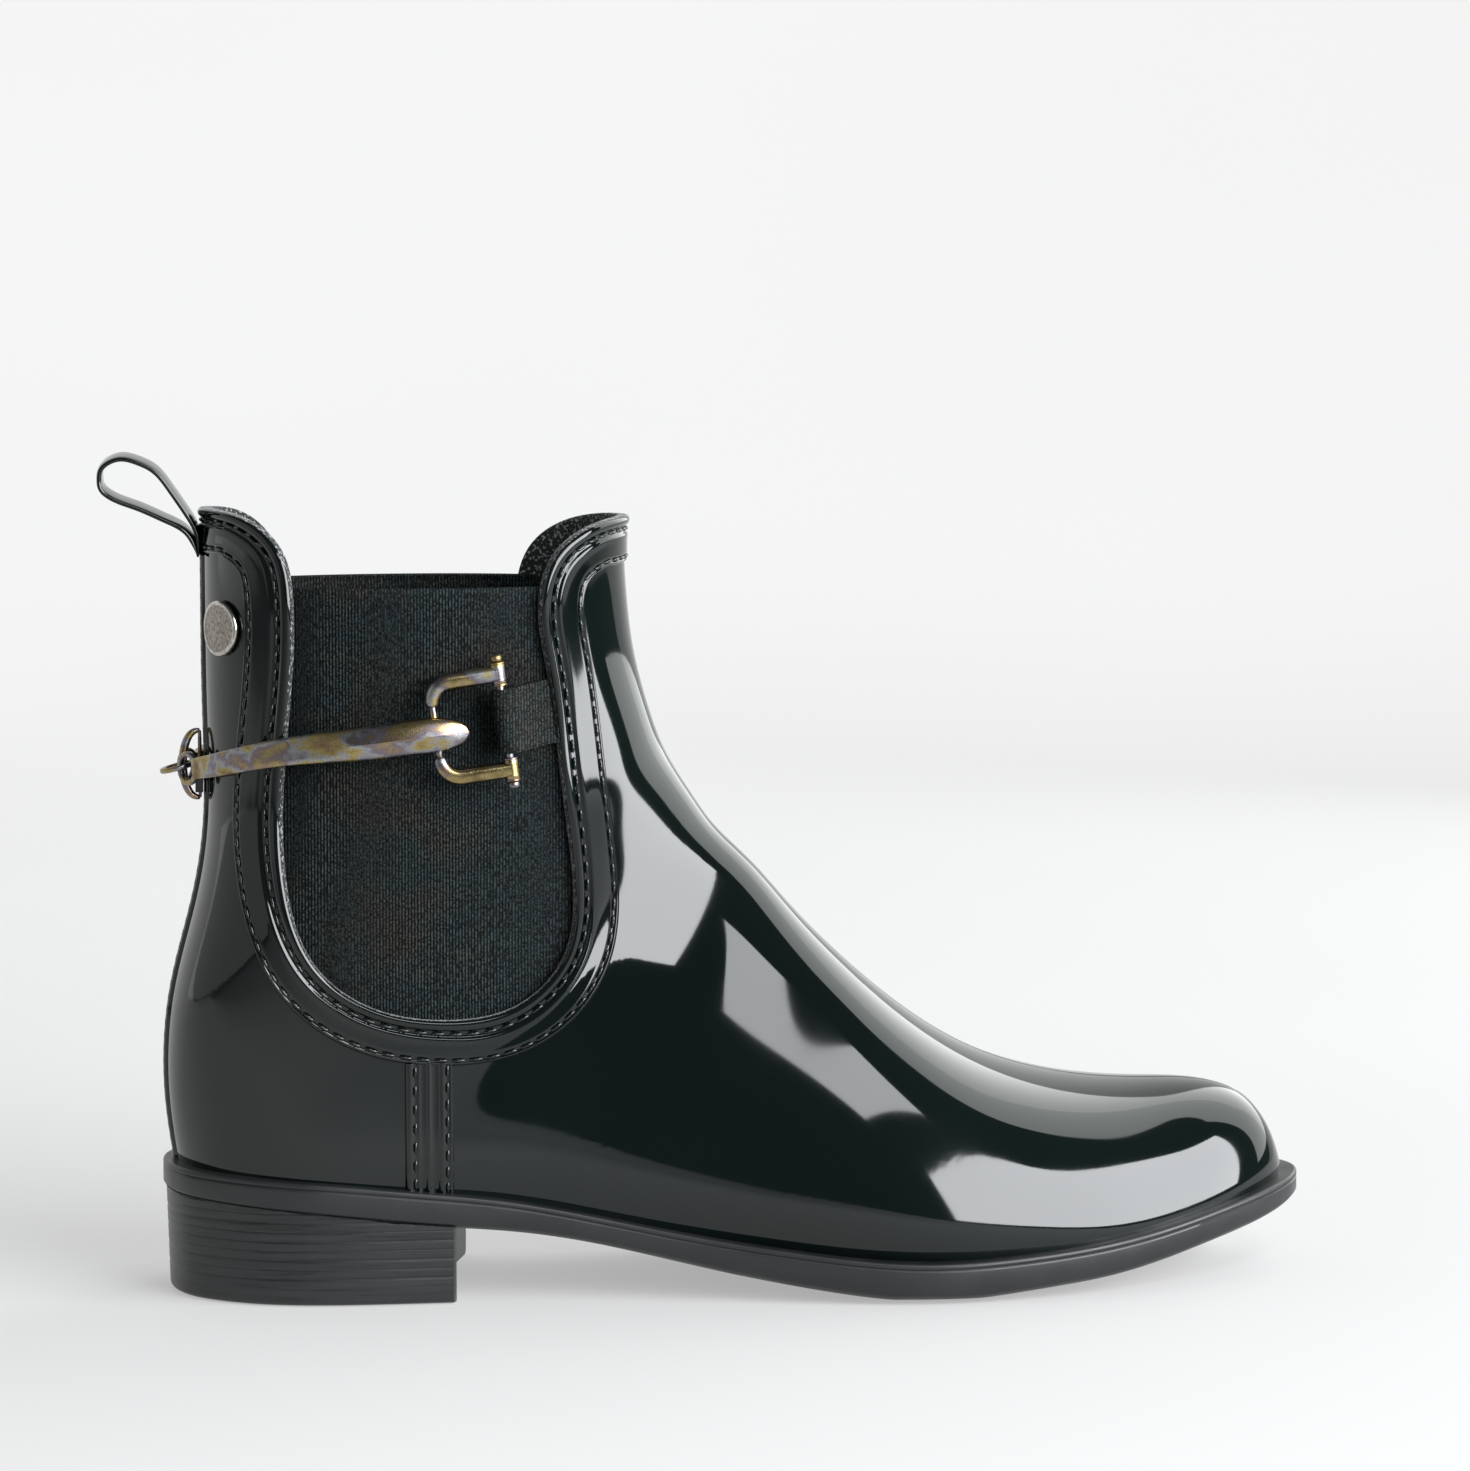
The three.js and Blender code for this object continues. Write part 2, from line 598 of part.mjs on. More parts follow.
// The cut moved outwards, away from the opening
function cutOffset(distance) {
  return cutLine.map(([x, z], i) => {
    const before = cutLine[Math.max(i - 1, 0)];
    const after = cutLine[Math.min(i + 1, cutLine.length - 1)];
    const [dx, dz] = [after[0] - before[0], after[1] - before[1]];
    const scale = distance / Math.hypot(dx, dz);
    return [x + dz * scale, z - dx * scale];
  });
}

function aboveCut(distance) {
  const line = cutOffset(distance);
  const top = seatHeight + 1.5 * UPPER_HEIGHT;
  const outline = [...line, [line[line.length - 1][0], top], [line[0][0], top]];
  return acrossPrism(outline, -BALL_WIDTH, BALL_WIDTH);
}

const FORM_SECTIONS = 37;
const FORM_AROUND = 34;
const INNER_SECTIONS = 26;
const INNER_AROUND = 26;

function upperSolid() {
  const top = seatHeight + 1.5 * UPPER_HEIGHT;
  const seamTop = Math.min(...cutLine.map(([, z]) => z)) - BORDER / 2;
  const strip = [
    [SEAM_X - SEAM_WIDTH / 2, 0],
    [SEAM_X + SEAM_WIDTH / 2, 0],
    [SEAM_X + SEAM_WIDTH / 2, seamTop],
    [SEAM_X - SEAM_WIDTH / 2, seamTop],
  ];
  const ridge = block([-2 * HEEL_BACK, -BACK_SEAM / 2, 0], [0, BACK_SEAM / 2, top]);
  const raisedPlaces = aboveCut(BORDER).add(acrossPrism(strip, -BALL_WIDTH, BALL_WIDTH)).add(ridge);
  const raised = lastForm(RAISE, FORM_SECTIONS, FORM_AROUND).intersect(raisedPlaces);
  return lastForm(0, FORM_SECTIONS, FORM_AROUND)
    .add(raised)
    .subtract(lastForm(-WALL, INNER_SECTIONS, INNER_AROUND))
    .subtract(aboveCut(0))
    .subtract(rimPrism(GAP, false));
}

// Elastic panel of one side, behind the border. side is -1 lateral, 1 medial.
function gussetSolid(side) {
  const outer = -WALL - GAP;
  const edge = collarHeight - GUSSET_DROP;
  const reach = side < 0
    ? block([-HEEL_BACK, -BALL_WIDTH, 0], [LENGTH / 2, 0, edge])
    : block([-HEEL_BACK, 0, 0], [LENGTH / 2, BALL_WIDTH, edge]);
  return lastForm(outer, INNER_SECTIONS, INNER_AROUND)
    .subtract(lastForm(outer - GUSSET_THICK, INNER_SECTIONS, INNER_AROUND))
    .intersect(aboveCut(GUSSET_TURN))
    .intersect(reach);
}

// Surface of the lateral side at a place in the side view, moved out along its normal
function lateralPoint(x, z, offset) {
  const [at, turn] = sidePlace(x, z);
  return offsetPoint(at, turn, offset);
}

function backSeamX(z) {
  let x = -HEEL_BACK;
  for (let i = 0; i < 3; i += 1) x = upperPoint(sidePlace(x, z)[0], 0).x;
  return x - RAISE;
}

// Pull loop: middle of the strip in the side view, as shares of LOOP_REACH, behind the
// back seam and over the collar. Both ends lie flat on each other on the seam.
const LOOP = [
  [0.070, -0.447],
  [0.090, -0.319],
  [0.140, -0.191],
  [0.319, -0.072],
  [0.604, 0.055],
  [0.864, 0.166],
  [0.945, 0.247],
  [0.966, 0.349],
  [0.949, 0.438],
  [0.872, 0.515],
  [0.745, 0.553],
  [0.574, 0.506],
  [0.438, 0.426],
  [0.281, 0.243],
  [0.106, -0.017],
  [0.053, -0.191],
  [0.051, -0.447],
];

function ribbon(path, thickness) {
  const sides = path.map(([x, z], i) => {
    const before = path[Math.max(i - 1, 0)];
    const after = path[Math.min(i + 1, path.length - 1)];
    const [dx, dz] = [after[0] - before[0], after[1] - before[1]];
    const scale = thickness / 2 / Math.hypot(dx, dz);
    return [[x - dz * scale, z + dx * scale], [x + dz * scale, z - dx * scale]];
  });
  return [...sides.map((pair) => pair[0]), ...sides.map((pair) => pair[1]).reverse()];
}

function pullLoopSolid() {
  const seam = backSeamX(collarHeight);
  const path = smoothLine(
    LOOP.map(([behind, above]) => [seam - behind * LOOP_REACH, collarHeight + above * LOOP_REACH]),
    40,
  );
  const half = path.length / 2;
  const lower = acrossPrism(ribbon(path.slice(0, half + 1), LOOP_THICK), -LOOP_WIDTH / 2, LOOP_WIDTH / 2);
  const upper = acrossPrism(ribbon(path.slice(half - 1), LOOP_THICK), -LOOP_WIDTH / 2, LOOP_WIDTH / 2);
  return lower.add(upper);
}

// Blank badge: a disc bent to the shaft
function badgeSolid() {
  const z = collarHeight - BADGE_DROP;
  const x = backSeamX(z) + BADGE_TURN;
  const [at, turn] = sidePlace(x, z);
  const middle = upperPoint(at, turn);
  const normal = upperNormal(at, turn);
  const from = middle.clone().addScaledVector(normal, -BADGE_DIAMETER).toArray();
  const to = middle.clone().addScaledVector(normal, BADGE_DIAMETER).toArray();
  return lastForm(GAP + BADGE_THICK, FORM_SECTIONS, FORM_AROUND)
    .subtract(lastForm(GAP, FORM_SECTIONS, FORM_AROUND))
    .intersect(rod(from, to, BADGE_DIAMETER, 20));
}

// Bars: place on the shaft as a share of LENGTH, and share of BAR_CLIMB
const BAR = [
  [0.055, 0.16],
  [0.085, 0.42],
  [0.122, 0.62],
  [0.167, 0.75],
  [0.212, 0.91],
  [0.254, 1.00],
];

const eyeMiddle = [backSeamX(BAR_LEVEL) - EYE_BEHIND + RAISE, -EYE_ASIDE, BAR_LEVEL];

function barPath() {
  const reach = (EYE_OUTER - EYE_BAND) / 2;
  const start = [
    eyeMiddle[0] + reach * Math.cos(rad(EYE_TURN)),
    eyeMiddle[1] - reach * Math.sin(rad(EYE_TURN)),
    BAR_LEVEL + 0.02 * BAR_CLIMB,
  ];
  const along = BAR.map(([share, climb]) => {
    return lateralPoint(alongLength(share), BAR_LEVEL + climb * BAR_CLIMB, BAR_STANDOFF).toArray();
  });
  return smoothLine([start, ...along], 12);
}

// Places on the D-ring, from the strap pin's middle: forward and up in the ring's plane
const dPlane = lateralPoint(D_X - D_DEPTH, BAR_LEVEL + BAR_CLIMB, BAR_STANDOFF).y;
const dMiddle = [D_X, dPlane, BAR_LEVEL + 1.21 * BAR_CLIMB];
function dPoint(forward, up, toBoot = 0) {
  const [c, s] = [Math.cos(rad(D_TILT)), Math.sin(rad(D_TILT))];
  return [dMiddle[0] + forward * c - up * s, dMiddle[1] + toBoot, dMiddle[2] + forward * s + up * c];
}

function cannonSolid() {
  const size = (t) => {
    const end = Math.sqrt(Math.max(1 - Math.max((t - 0.86) / 0.14, 0) ** 2, 0.08));
    return [0, 1].map((k) => (BAR_BACK[k] + (BAR_FRONT[k] - BAR_BACK[k]) * t) * (k === 0 ? end : 1));
  };
  const bar = sweptBar(barPath(), size, 8, 0.6);
  const eye = bandRing(EYE_OUTER, EYE_BAND, EYE_BAND, 12);
  eye.rotateZ(-rad(EYE_TURN));
  eye.translate(...eyeMiddle);
  const hole = rod(dPoint(-D_DEPTH, -D_HALF), dPoint(-D_DEPTH, D_HALF), D_PIN + 2 * GAP);
  return bar.add(solid(eye)).subtract(hole);
}

function dRingSolid() {
  const arm = (sign) => {
    const bow = [];
    for (let i = 0; i <= 3; i += 1) {
      const angle = rad(90 * i / 3);
      bow.push(dPoint(
        D_CORNER - D_DEPTH - D_CORNER * Math.sin(angle),
        sign * (D_HALF - D_CORNER + D_CORNER * Math.cos(angle)),
      ));
    }
    const path = [dPoint(-STRAP_PIN / 5, sign * D_HALF), dPoint(-D_DEPTH * 0.35, sign * D_HALF), ...bow];
    const last = D_HALF - D_CORNER;
    path.push(dPoint(-D_DEPTH, sign * (last + BAR_FRONT[0] / 2 + 2 * GAP) / 2));
    return sweptBar(path, (t) => [D_WIRE * (1 - 0.35 * t ** 6), D_WIRE * (1 - 0.35 * t ** 6)]);
  };
  const sleeve = (sign) => {
    const [near, far] = [D_HALF - BARREL[1] / 2, D_HALF + BARREL[1] / 2];
    return rod(dPoint(0, sign * near), dPoint(0, sign * far), BARREL[0], 10)
      .add(rod(dPoint(0, sign * D_HALF), dPoint(0, sign * (far + KNOB[1])), KNOB[0], 6));
  };
  return arm(1)
    .add(arm(-1))
    .add(sleeve(1))
    .add(sleeve(-1))
    .add(rod(dPoint(0, -D_HALF), dPoint(0, D_HALF), STRAP_PIN, 6))
    .add(rod(dPoint(-D_DEPTH, -D_HALF + D_CORNER), dPoint(-D_DEPTH, D_HALF - D_CORNER), D_PIN, 8));
}

// Elastic strap: folded round the strap pin, its ends against the front border
function strapSolid() {
  const near = cutLine.reduce((best, point) => {
    const miss = Math.abs(point[1] - dMiddle[2]) + (point[0] < D_X ? UPPER_HEIGHT : 0);
    return miss < best[0] ? [miss, point] : best;
  }, [Infinity, null])[1];
  const reach = (near[0] - D_X) / Math.cos(rad(D_TILT)) - 3 * GAP;
  const fold = STRAP_PIN / 2 + GAP + STRAP_THICK;
  const panel = lateralPoint(near[0], dMiddle[2], -WALL).y;
  const flat = panel - GAP - STRAP_THICK - dPlane;
  const outline = [[0, -fold], [reach, flat - STRAP_THICK], [reach, flat + STRAP_THICK], [0, fold]];
  const corner = (up) => outline.map(([forward, toBoot]) => dPoint(forward, up, toBoot));
  const pin = (diameter) => {
    return rod(dPoint(0, -STRAP_WIDTH / 2), dPoint(0, STRAP_WIDTH / 2), diameter, 12);
  };
  const hole = rod(dPoint(0, -D_HALF), dPoint(0, D_HALF), STRAP_PIN + 2 * GAP, 12);
  return lofted([corner(-STRAP_WIDTH / 2), corner(STRAP_WIDTH / 2)]).add(pin(2 * fold)).subtract(hole);
}

function linkRingSolid() {
  const ring = bandRing(LINK_OUTER, LINK_WIRE, LINK_WIRE, 16);
  ring.rotateX(Math.PI / 2);
  ring.rotateY(-rad(LINK_TILT));
  ring.translate(eyeMiddle[0] - LINK_BEHIND, 0, BAR_LEVEL);
  return solid(ring);
}

const keeperX = backSeamX(BAR_LEVEL) - GAP - KEEPER_PIN / 2 - KEEPER_PLAY;
const keeperZ = BAR_LEVEL + 0.6;

function keeperRingSolid() {
  const half = KEEPER_HEIGHT / 2;
  const path = Array.from({ length: 15 }, (_, i) => {
    const angle = Math.PI * i / 14;
    return [keeperX - KEEPER_DEPTH * Math.sin(angle) ** 0.8, 0, keeperZ + half * Math.cos(angle)];
  });
  const size = (t) => {
    const wire = KEEPER_PIN + (KEEPER_WIRE - KEEPER_PIN) * Math.sqrt(Math.sin(Math.PI * t));
    return [wire, wire];
  };
  return sweptBar(path, size).add(rod([keeperX, 0, keeperZ - half], [keeperX, 0, keeperZ + half], KEEPER_PIN));
}

function keeperTabSolid() {
  const low = BAR_LEVEL - 1.2 * TAB_HEIGHT - TAB_HEIGHT / 2;
  const deep = KEEPER_PIN / 2 + GAP + TAB_WALL;
  const tab = block([keeperX - deep, -TAB_WIDTH / 2, low], [keeperX + deep, TAB_WIDTH / 2, low + TAB_HEIGHT]);
  const hole = rod([keeperX, 0, 0], [keeperX, 0, collarHeight], KEEPER_PIN + 2 * GAP);
  return tab.subtract(hole).subtract(lastForm(RAISE + GAP, FORM_SECTIONS, FORM_AROUND));
}

function mirrored(body) {
  const mesh = body.getMesh();
  const place = mesh.vertProperties.map((value, i) => (i % 3 === 1 ? -value : value));
  const geometry = new THREE.BufferGeometry();
  geometry.setAttribute('position', new THREE.BufferAttribute(place, 3));
  geometry.setIndex(Array.from(mesh.triVerts));
  return solid(geometry);
}

const finish = (color, roughness, metalness) => new THREE.MeshStandardMaterial({ color, roughness, metalness });
const pvc = finish(0x15191a, 0.12, 0);
const soleRubber = finish(0x26282a, 0.45, 0);
const footbed = finish(0x1c1d1f, 0.9, 0);
const elastic = finish(0x20282a, 0.85, 0);
const gilt = finish(0xb5a582, 0.32, 1);
const pewter = finish(0x8d867f, 0.4, 1);

const boot = new THREE.Group();
function addPiece(name, body, material) {
  const mesh = body.getMesh();
  const geometry = new THREE.BufferGeometry();
  geometry.setAttribute('position', new THREE.BufferAttribute(mesh.vertProperties, 3));
  geometry.setIndex(Array.from(mesh.triVerts));
  const piece = new THREE.Mesh(geometry, material);
  piece.name = name;
  boot.add(piece);
}

addPiece('outsole', outsoleSolid(), soleRubber);
addPiece('heel', heelSolid(), soleRubber);
addPiece('insole', insoleSolid(), footbed);
addPiece('upper', upperSolid(), pvc);
addPiece('gusset_lateral', gussetSolid(-1), elastic);
addPiece('gusset_medial', gussetSolid(1), elastic);
addPiece('pull_loop', pullLoopSolid(), pvc);
addPiece('badge', badgeSolid(), pewter);
for (const [name, make, material] of [
  ['strap', strapSolid, elastic],
  ['d_ring', dRingSolid, gilt],
  ['cannon', cannonSolid, gilt],
]) {
  const body = make();
  addPiece(`${name}_lateral`, body, material);
  addPiece(`${name}_medial`, mirrored(body), material);
}
addPiece('link_ring', linkRingSolid(), gilt);
addPiece('keeper_ring', keeperRingSolid(), gilt);
addPiece('keeper_tab', keeperTabSolid(), pvc);

export default boot;
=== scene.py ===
import math

import bmesh
import bpy
import numpy as np
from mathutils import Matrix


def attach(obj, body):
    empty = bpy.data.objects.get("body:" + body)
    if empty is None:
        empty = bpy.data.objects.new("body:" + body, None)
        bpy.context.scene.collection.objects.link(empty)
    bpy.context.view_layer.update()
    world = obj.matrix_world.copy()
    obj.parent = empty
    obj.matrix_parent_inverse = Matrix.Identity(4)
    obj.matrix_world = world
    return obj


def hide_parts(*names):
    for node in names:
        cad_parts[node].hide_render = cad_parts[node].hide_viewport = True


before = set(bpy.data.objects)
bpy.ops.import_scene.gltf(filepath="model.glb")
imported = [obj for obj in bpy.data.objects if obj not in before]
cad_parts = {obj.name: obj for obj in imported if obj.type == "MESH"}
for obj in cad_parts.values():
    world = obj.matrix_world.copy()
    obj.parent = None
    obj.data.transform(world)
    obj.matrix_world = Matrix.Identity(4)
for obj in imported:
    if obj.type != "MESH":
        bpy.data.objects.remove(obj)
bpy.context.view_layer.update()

MM = 0.001

# Sizes of the boot in millimetres, the same as those of its solids
LENGTH = 268.0
HEEL_BACK = 33.7
BALL_WIDTH = 92.5
BALL_EDGE = 9.4
HEEL_RISE = 20.6
TOE_SPRING = 12.2
SIDE_WALL = 8.4
TREAD_EDGE = 7.5
TREAD_CAMBER = 2.3
EDGE_ROUND = 1.3
GAP = 0.3
BREAST_LATERAL = 31.5
BREAST_MEDIAL = 39.6
BREAST_HOLLOW = 3.5
HEEL_TAPER = 0.9
HEEL_INSET = 0.5
TOP_LIFT = 6.2
LIFT_STEP = 4.3
LIFT_GROOVE = 0.5
UPPER_HEIGHT = 149.0
GIRTH_WIDTH = 0.951 * BALL_WIDTH
SHAFT_WIDTH = 0.7135 * BALL_WIDTH
WALL = 2.0
RAISE = 0.7
SEAM_X = 25.6
GUSSET_THICK = 1.2
GUSSET_TURN = 5.0
GUSSET_DROP = 16.5
LOOP_REACH = 23.5
LOOP_WIDTH = 9.0
LOOP_THICK = 1.4
BADGE_DIAMETER = 12.5
BADGE_THICK = 1.1
BADGE_DROP = 26.0
BADGE_TURN = 4.6
BAR_LEVEL = 120.4
BAR_CLIMB = 10.3
BAR_BACK = (4.8, 2.4)
BAR_FRONT = (8.5, 4.2)
BAR_STANDOFF = 2.9
EYE_OUTER = 7.9
EYE_BAND = 1.4
EYE_BEHIND = 4.3
EYE_ASIDE = 4.7
EYE_TURN = 58.0
LINK_OUTER = 8.6
LINK_WIRE = 1.2
LINK_TILT = 15.0
LINK_BEHIND = 2.2
KEEPER_WIRE = 2.0
KEEPER_HEIGHT = 15.4
KEEPER_DEPTH = 3.9
KEEPER_PIN = 0.9
KEEPER_PLAY = 0.1
D_WIRE = 3.8
D_HALF = 10.8
D_DEPTH = 15.6
D_CORNER = 4.6
D_PIN = 1.6
D_TILT = 7.9
D_X = 42.7
BARREL = (3.3, 5.4)
KNOB = (2.2, 1.6)
STRAP_PIN = 1.8
STRAP_WIDTH = 14.4
STRAP_THICK = 1.1

# Finer sizes that only the looks need, in millimetres
CELL = 1.1            # mesh of the upper
STRIP_STEP = 0.8      # mesh along borders and seams
BORDER_WIDTH = 10.0   # raised border with its two rows of stitches
BORDER_LAP = 9.6      # where the plain wall goes in under the border
BORDER_EASE = 12.0    # the border's inner line rounds corners over this length
STITCH_ROWS = ((2.85, 0.42), (8.95, 0.50))   # distance from the opening, lift over the wall
STITCH_PITCH = 4.0
STITCH_LENGTH = 3.2
STITCH_WIDTH = 0.75
RIB_PITCH = 0.72      # ribs of the elastic
RIB_HEIGHT = 0.11
KNIT_LOOP = 0.75      # loops of the lining
HEM = 2.3             # sewn hem at the elastic's free edge
PARTING_WIDTH = 0.8   # mould parting line over the instep


# Curves

def spline(knots, values, flat_start=False):
    """C2 cubic spline, natural at its ends or flat at its start."""
    t, y = np.array(knots, float), np.array(values, float)
    count, span = len(t), np.diff(t)
    slope = np.diff(y) / span
    matrix, right = np.eye(count), np.zeros(count)
    for i in range(1, count - 1):
        matrix[i, i - 1:i + 2] = span[i - 1], 2 * (span[i - 1] + span[i]), span[i]
        right[i] = 6 * (slope[i] - slope[i - 1])
    if flat_start:
        matrix[0, :2] = 2 * span[0], span[0]
        right[0] = 6 * slope[0]
    bend = np.linalg.solve(matrix, right)

    def value_at(place):
        p = np.clip(place, t[0], t[-1])
        i = np.clip(np.searchsorted(t, p) - 1, 0, count - 2)
        h = span[i]
        a = (t[i + 1] - p) / h
        b = 1 - a
        curve = ((a ** 3 - a) * bend[i] + (b ** 3 - b) * bend[i + 1]) * h * h / 6
        return a * y[i] + b * y[i + 1] + curve

    return value_at


def smooth_line(points, samples):
    """Evenly sampled smooth curve through points, with its length as the parameter."""
    p = np.array(points, float)
    knots = np.concatenate([[0], np.cumsum(np.linalg.norm(np.diff(p, axis=0), axis=1))])
    places = np.linspace(0, knots[-1], samples + 1)
    return np.stack([spline(knots, p[:, k])(places) for k in range(p.shape[1])], 1)


def lengths_along(points):
    return np.concatenate([[0], np.cumsum(np.linalg.norm(np.diff(points, axis=0), axis=1))])


def unit(vectors):
    return vectors / np.maximum(np.linalg.norm(vectors, axis=-1, keepdims=True), 1e-12)


def smooth_step(value, low, high):
    t = np.clip((value - low) / (high - low), 0, 1)
    return t * t * (3 - 2 * t)


def along_length(share):
    return share * LENGTH - HEEL_BACK


def share_of(x):
    return (x + HEEL_BACK) / LENGTH


# Sole

# Rim: share of the length, share of HEEL_RISE, share of TOE_SPRING
RIM = [
    (0.000, 1.000, 0.00), (0.074, 0.956, 0.00), (0.150, 0.885, 0.00), (0.221, 0.790, 0.00),
    (0.280, 0.700, 0.00), (0.340, 0.558, 0.00), (0.398, 0.398, 0.00), (0.448, 0.272, 0.00),
    (0.530, 0.115, 0.00), (0.618, 0.005, 0.00), (0.723, 0.000, 0.06), (0.838, 0.000, 0.32),
    (0.931, 0.000, 0.70), (1.000, 0.000, 1.00),
]
# Thickness: share of the length, share of SIDE_WALL
THICKNESS = [
    (0.000, 0.90), (0.150, 1.02), (0.246, 1.02), (0.340, 0.89), (0.400, 0.89), (0.480, 1.00),
    (0.548, 1.09), (0.618, 1.15), (0.675, 1.15), (0.730, 1.09), (0.810, 1.06), (0.895, 0.97),
    (0.950, 0.93), (1.000, 0.80),
]
# Plan outline: share of the length, lateral and medial share of the ball's width
OUTLINE = [
    (0.000, 0.000, 0.000), (0.014, 0.154, 0.154), (0.037, 0.226, 0.225), (0.074, 0.291, 0.289),
    (0.118, 0.327, 0.322), (0.170, 0.340, 0.331), (0.241, 0.342, 0.322), (0.320, 0.350, 0.307),
    (0.405, 0.375, 0.306), (0.490, 0.425, 0.348), (0.573, 0.480, 0.420), (0.648, 0.510, 0.472),
    (0.723, 0.495, 0.486), (0.797, 0.450, 0.466), (0.872, 0.364, 0.402), (0.928, 0.275, 0.319),
    (0.969, 0.188, 0.218), (1.000, 0.000, 0.000),
]
rim_table, thickness_table, outline_table = np.array(RIM), np.array(THICKNESS), np.array(OUTLINE)
heel_share = spline(rim_table[:, 0], rim_table[:, 1])
toe_share = spline(rim_table[:, 0], rim_table[:, 2])
wall_share = spline(thickness_table[:, 0], thickness_table[:, 1])
outline_knots = np.arccos(1 - 2 * outline_table[:, 0])
lateral_half = spline(outline_knots, outline_table[:, 1])
medial_half = spline(outline_knots, outline_table[:, 2])


def rim_height(x):
    return BALL_EDGE + HEEL_RISE * heel_share(share_of(x)) + TOE_SPRING * toe_share(share_of(x))


def tread_height(x):
    return np.maximum(0, rim_height(x) - SIDE_WALL * wall_share(share_of(x)))


def outline_point(turn):
    """Sole outline, from the heel's back past the lateral side."""
    turn = np.mod(turn, 2 * math.pi)
    half = np.where(turn <= math.pi, turn, 2 * math.pi - turn)
    x = along_length((1 - np.cos(half)) / 2)
    y = BALL_WIDTH * np.where(turn <= math.pi, -lateral_half(half), medial_half(half))
    return np.stack([x, y], -1)


def inset_point(turn, distance):
    """The outline drawn in by a distance."""
    step = 1e-3
    place = outline_point(turn)
    run = unit(outline_point(turn + step) - outline_point(turn - step))
    return place + np.stack([-run[:, 1], run[:, 0]], -1) * np.asarray(distance)[..., None]


# Upper

# front x, front z, back x, back z, girth, shaft, centre, lean, low, square: shares as in the solids
SECTIONS = np.array([
    (0.9877, -0.011, 0.9877, -0.011, 0.000, 0.000, 0.014, 0.000, -0.10, 0.10),
    (0.9716, 0.083, 0.9785, -0.045, 0.245, 0.000, 0.016, 0.003, -0.10, 0.12),
    (0.9330, 0.148, 0.9500, -0.082, 0.465, 0.000, 0.022, 0.008, -0.12, 0.15),
    (0.8610, 0.181, 0.8910, -0.099, 0.700, 0.000, 0.025, 0.015, -0.15, 0.20),
    (0.7860, 0.2155, 0.8200, -0.097, 0.882, 0.000, 0.018, 0.020, -0.17, 0.24),
    (0.7116, 0.2705, 0.7410, -0.091, 0.983, 0.000, 0.009, 0.022, -0.18, 0.26),
    (0.6480, 0.346, 0.6560, -0.090, 1.010, 0.000, -0.003, 0.024, -0.20, 0.28),
    (0.5960, 0.414, 0.5620, -0.092, 0.936, 0.000, -0.014, 0.026, -0.22, 0.27),
    (0.5510, 0.467, 0.4540, -0.099, 0.610, 0.250, -0.018, 0.026, -0.24, 0.24),
    (0.5135, 0.497, 0.3270, -0.117, 0.300, 0.530, -0.013, 0.022, -0.25, 0.22),
    (0.4809, 0.521, 0.1850, -0.153, 0.100, 0.764, -0.002, 0.016, -0.20, 0.25),
    (0.4568, 0.562, 0.0440, -0.183, 0.000, 0.895, 0.002, 0.009, -0.12, 0.30),
    (0.4382, 0.614, 0.0168, -0.054, 0.000, 0.892, 0.002, 0.004, -0.05, 0.30),
    (0.4246, 0.671, 0.0043, 0.101, 0.000, 0.914, 0.001, 0.000, 0.00, 0.27),
    (0.4140, 0.735, 0.0093, 0.262, 0.000, 0.930, 0.000, 0.000, 0.00, 0.22),
    (0.4063, 0.802, 0.0280, 0.399, 0.000, 0.940, 0.000, 0.000, 0.00, 0.17),
    (0.4020, 0.872, 0.0396, 0.530, 0.000, 0.955, 0.000, 0.000, 0.00, 0.13),
    (0.4000, 0.940, 0.0396, 0.705, 0.000, 0.977, 0.000, 0.000, 0.00, 0.10),
    (0.4011, 1.007, 0.0390, 0.872, 0.000, 0.992, 0.000, 0.000, 0.00, 0.08),
    (0.4035, 1.074, 0.0390, 1.060, 0.000, 1.000, 0.000, 0.000, 0.00, 0.07),
])
section_base = rim_height(along_length(SECTIONS[:, 2]))
front_ends = np.stack([along_length(SECTIONS[:, 0]), section_base + SECTIONS[:, 1] * UPPER_HEIGHT], 1)
back_ends = np.stack([along_length(SECTIONS[:, 2]), section_base + SECTIONS[:, 3] * UPPER_HEIGHT], 1)
section_knots = (lengths_along(front_ends) + lengths_along(back_ends)) / 2
section_end = section_knots[-1]


def even_line(values):
    return spline(section_knots, values, True)


def odd_line(values):
    return spline(section_knots, values)


middle_x = even_line((front_ends + back_ends)[:, 0] / 2)
middle_z = even_line((front_ends + back_ends)[:, 1] / 2)
half_x = odd_line((front_ends - back_ends)[:, 0] / 2)
half_z = odd_line((front_ends - back_ends)[:, 1] / 2)
half_width = odd_line((SECTIONS[:, 4] * GIRTH_WIDTH + SECTIONS[:, 5] * SHAFT_WIDTH) / 2)
centre_line = even_line(SECTIONS[:, 6] * BALL_WIDTH)
lean_line = odd_line(SECTIONS[:, 7] * BALL_WIDTH)
low_line = even_line(SECTIONS[:, 8])
square_line = even_line(SECTIONS[:, 9])


def section_widest():
    """Widest value of the section's shape, as a smooth line over the sections."""
    places = np.linspace(0, section_end, 120)
    turn = np.linspace(0, math.pi, 721)[None, :]
    along = -np.cos(turn)
    shape = np.sin(turn) * (1 + low_line(places)[:, None] * along + square_line(places)[:, None] * along ** 2)
    return spline(places, shape.max(1))


widest_line = section_widest()


def upper_point(at, turn):
    """Surface of the upper: section and turn, from the back point past the lateral side."""
    along = -np.cos(turn)
    shape = np.sin(turn) * (1 + low_line(at) * along + square_line(at) * along ** 2)
    return np.stack([
        middle_x(at) + half_x(at) * along,
        centre_line(at) + lean_line(at) * along - half_width(at) * shape / widest_line(at),
        middle_z(at) + half_z(at) * along,
    ], -1)


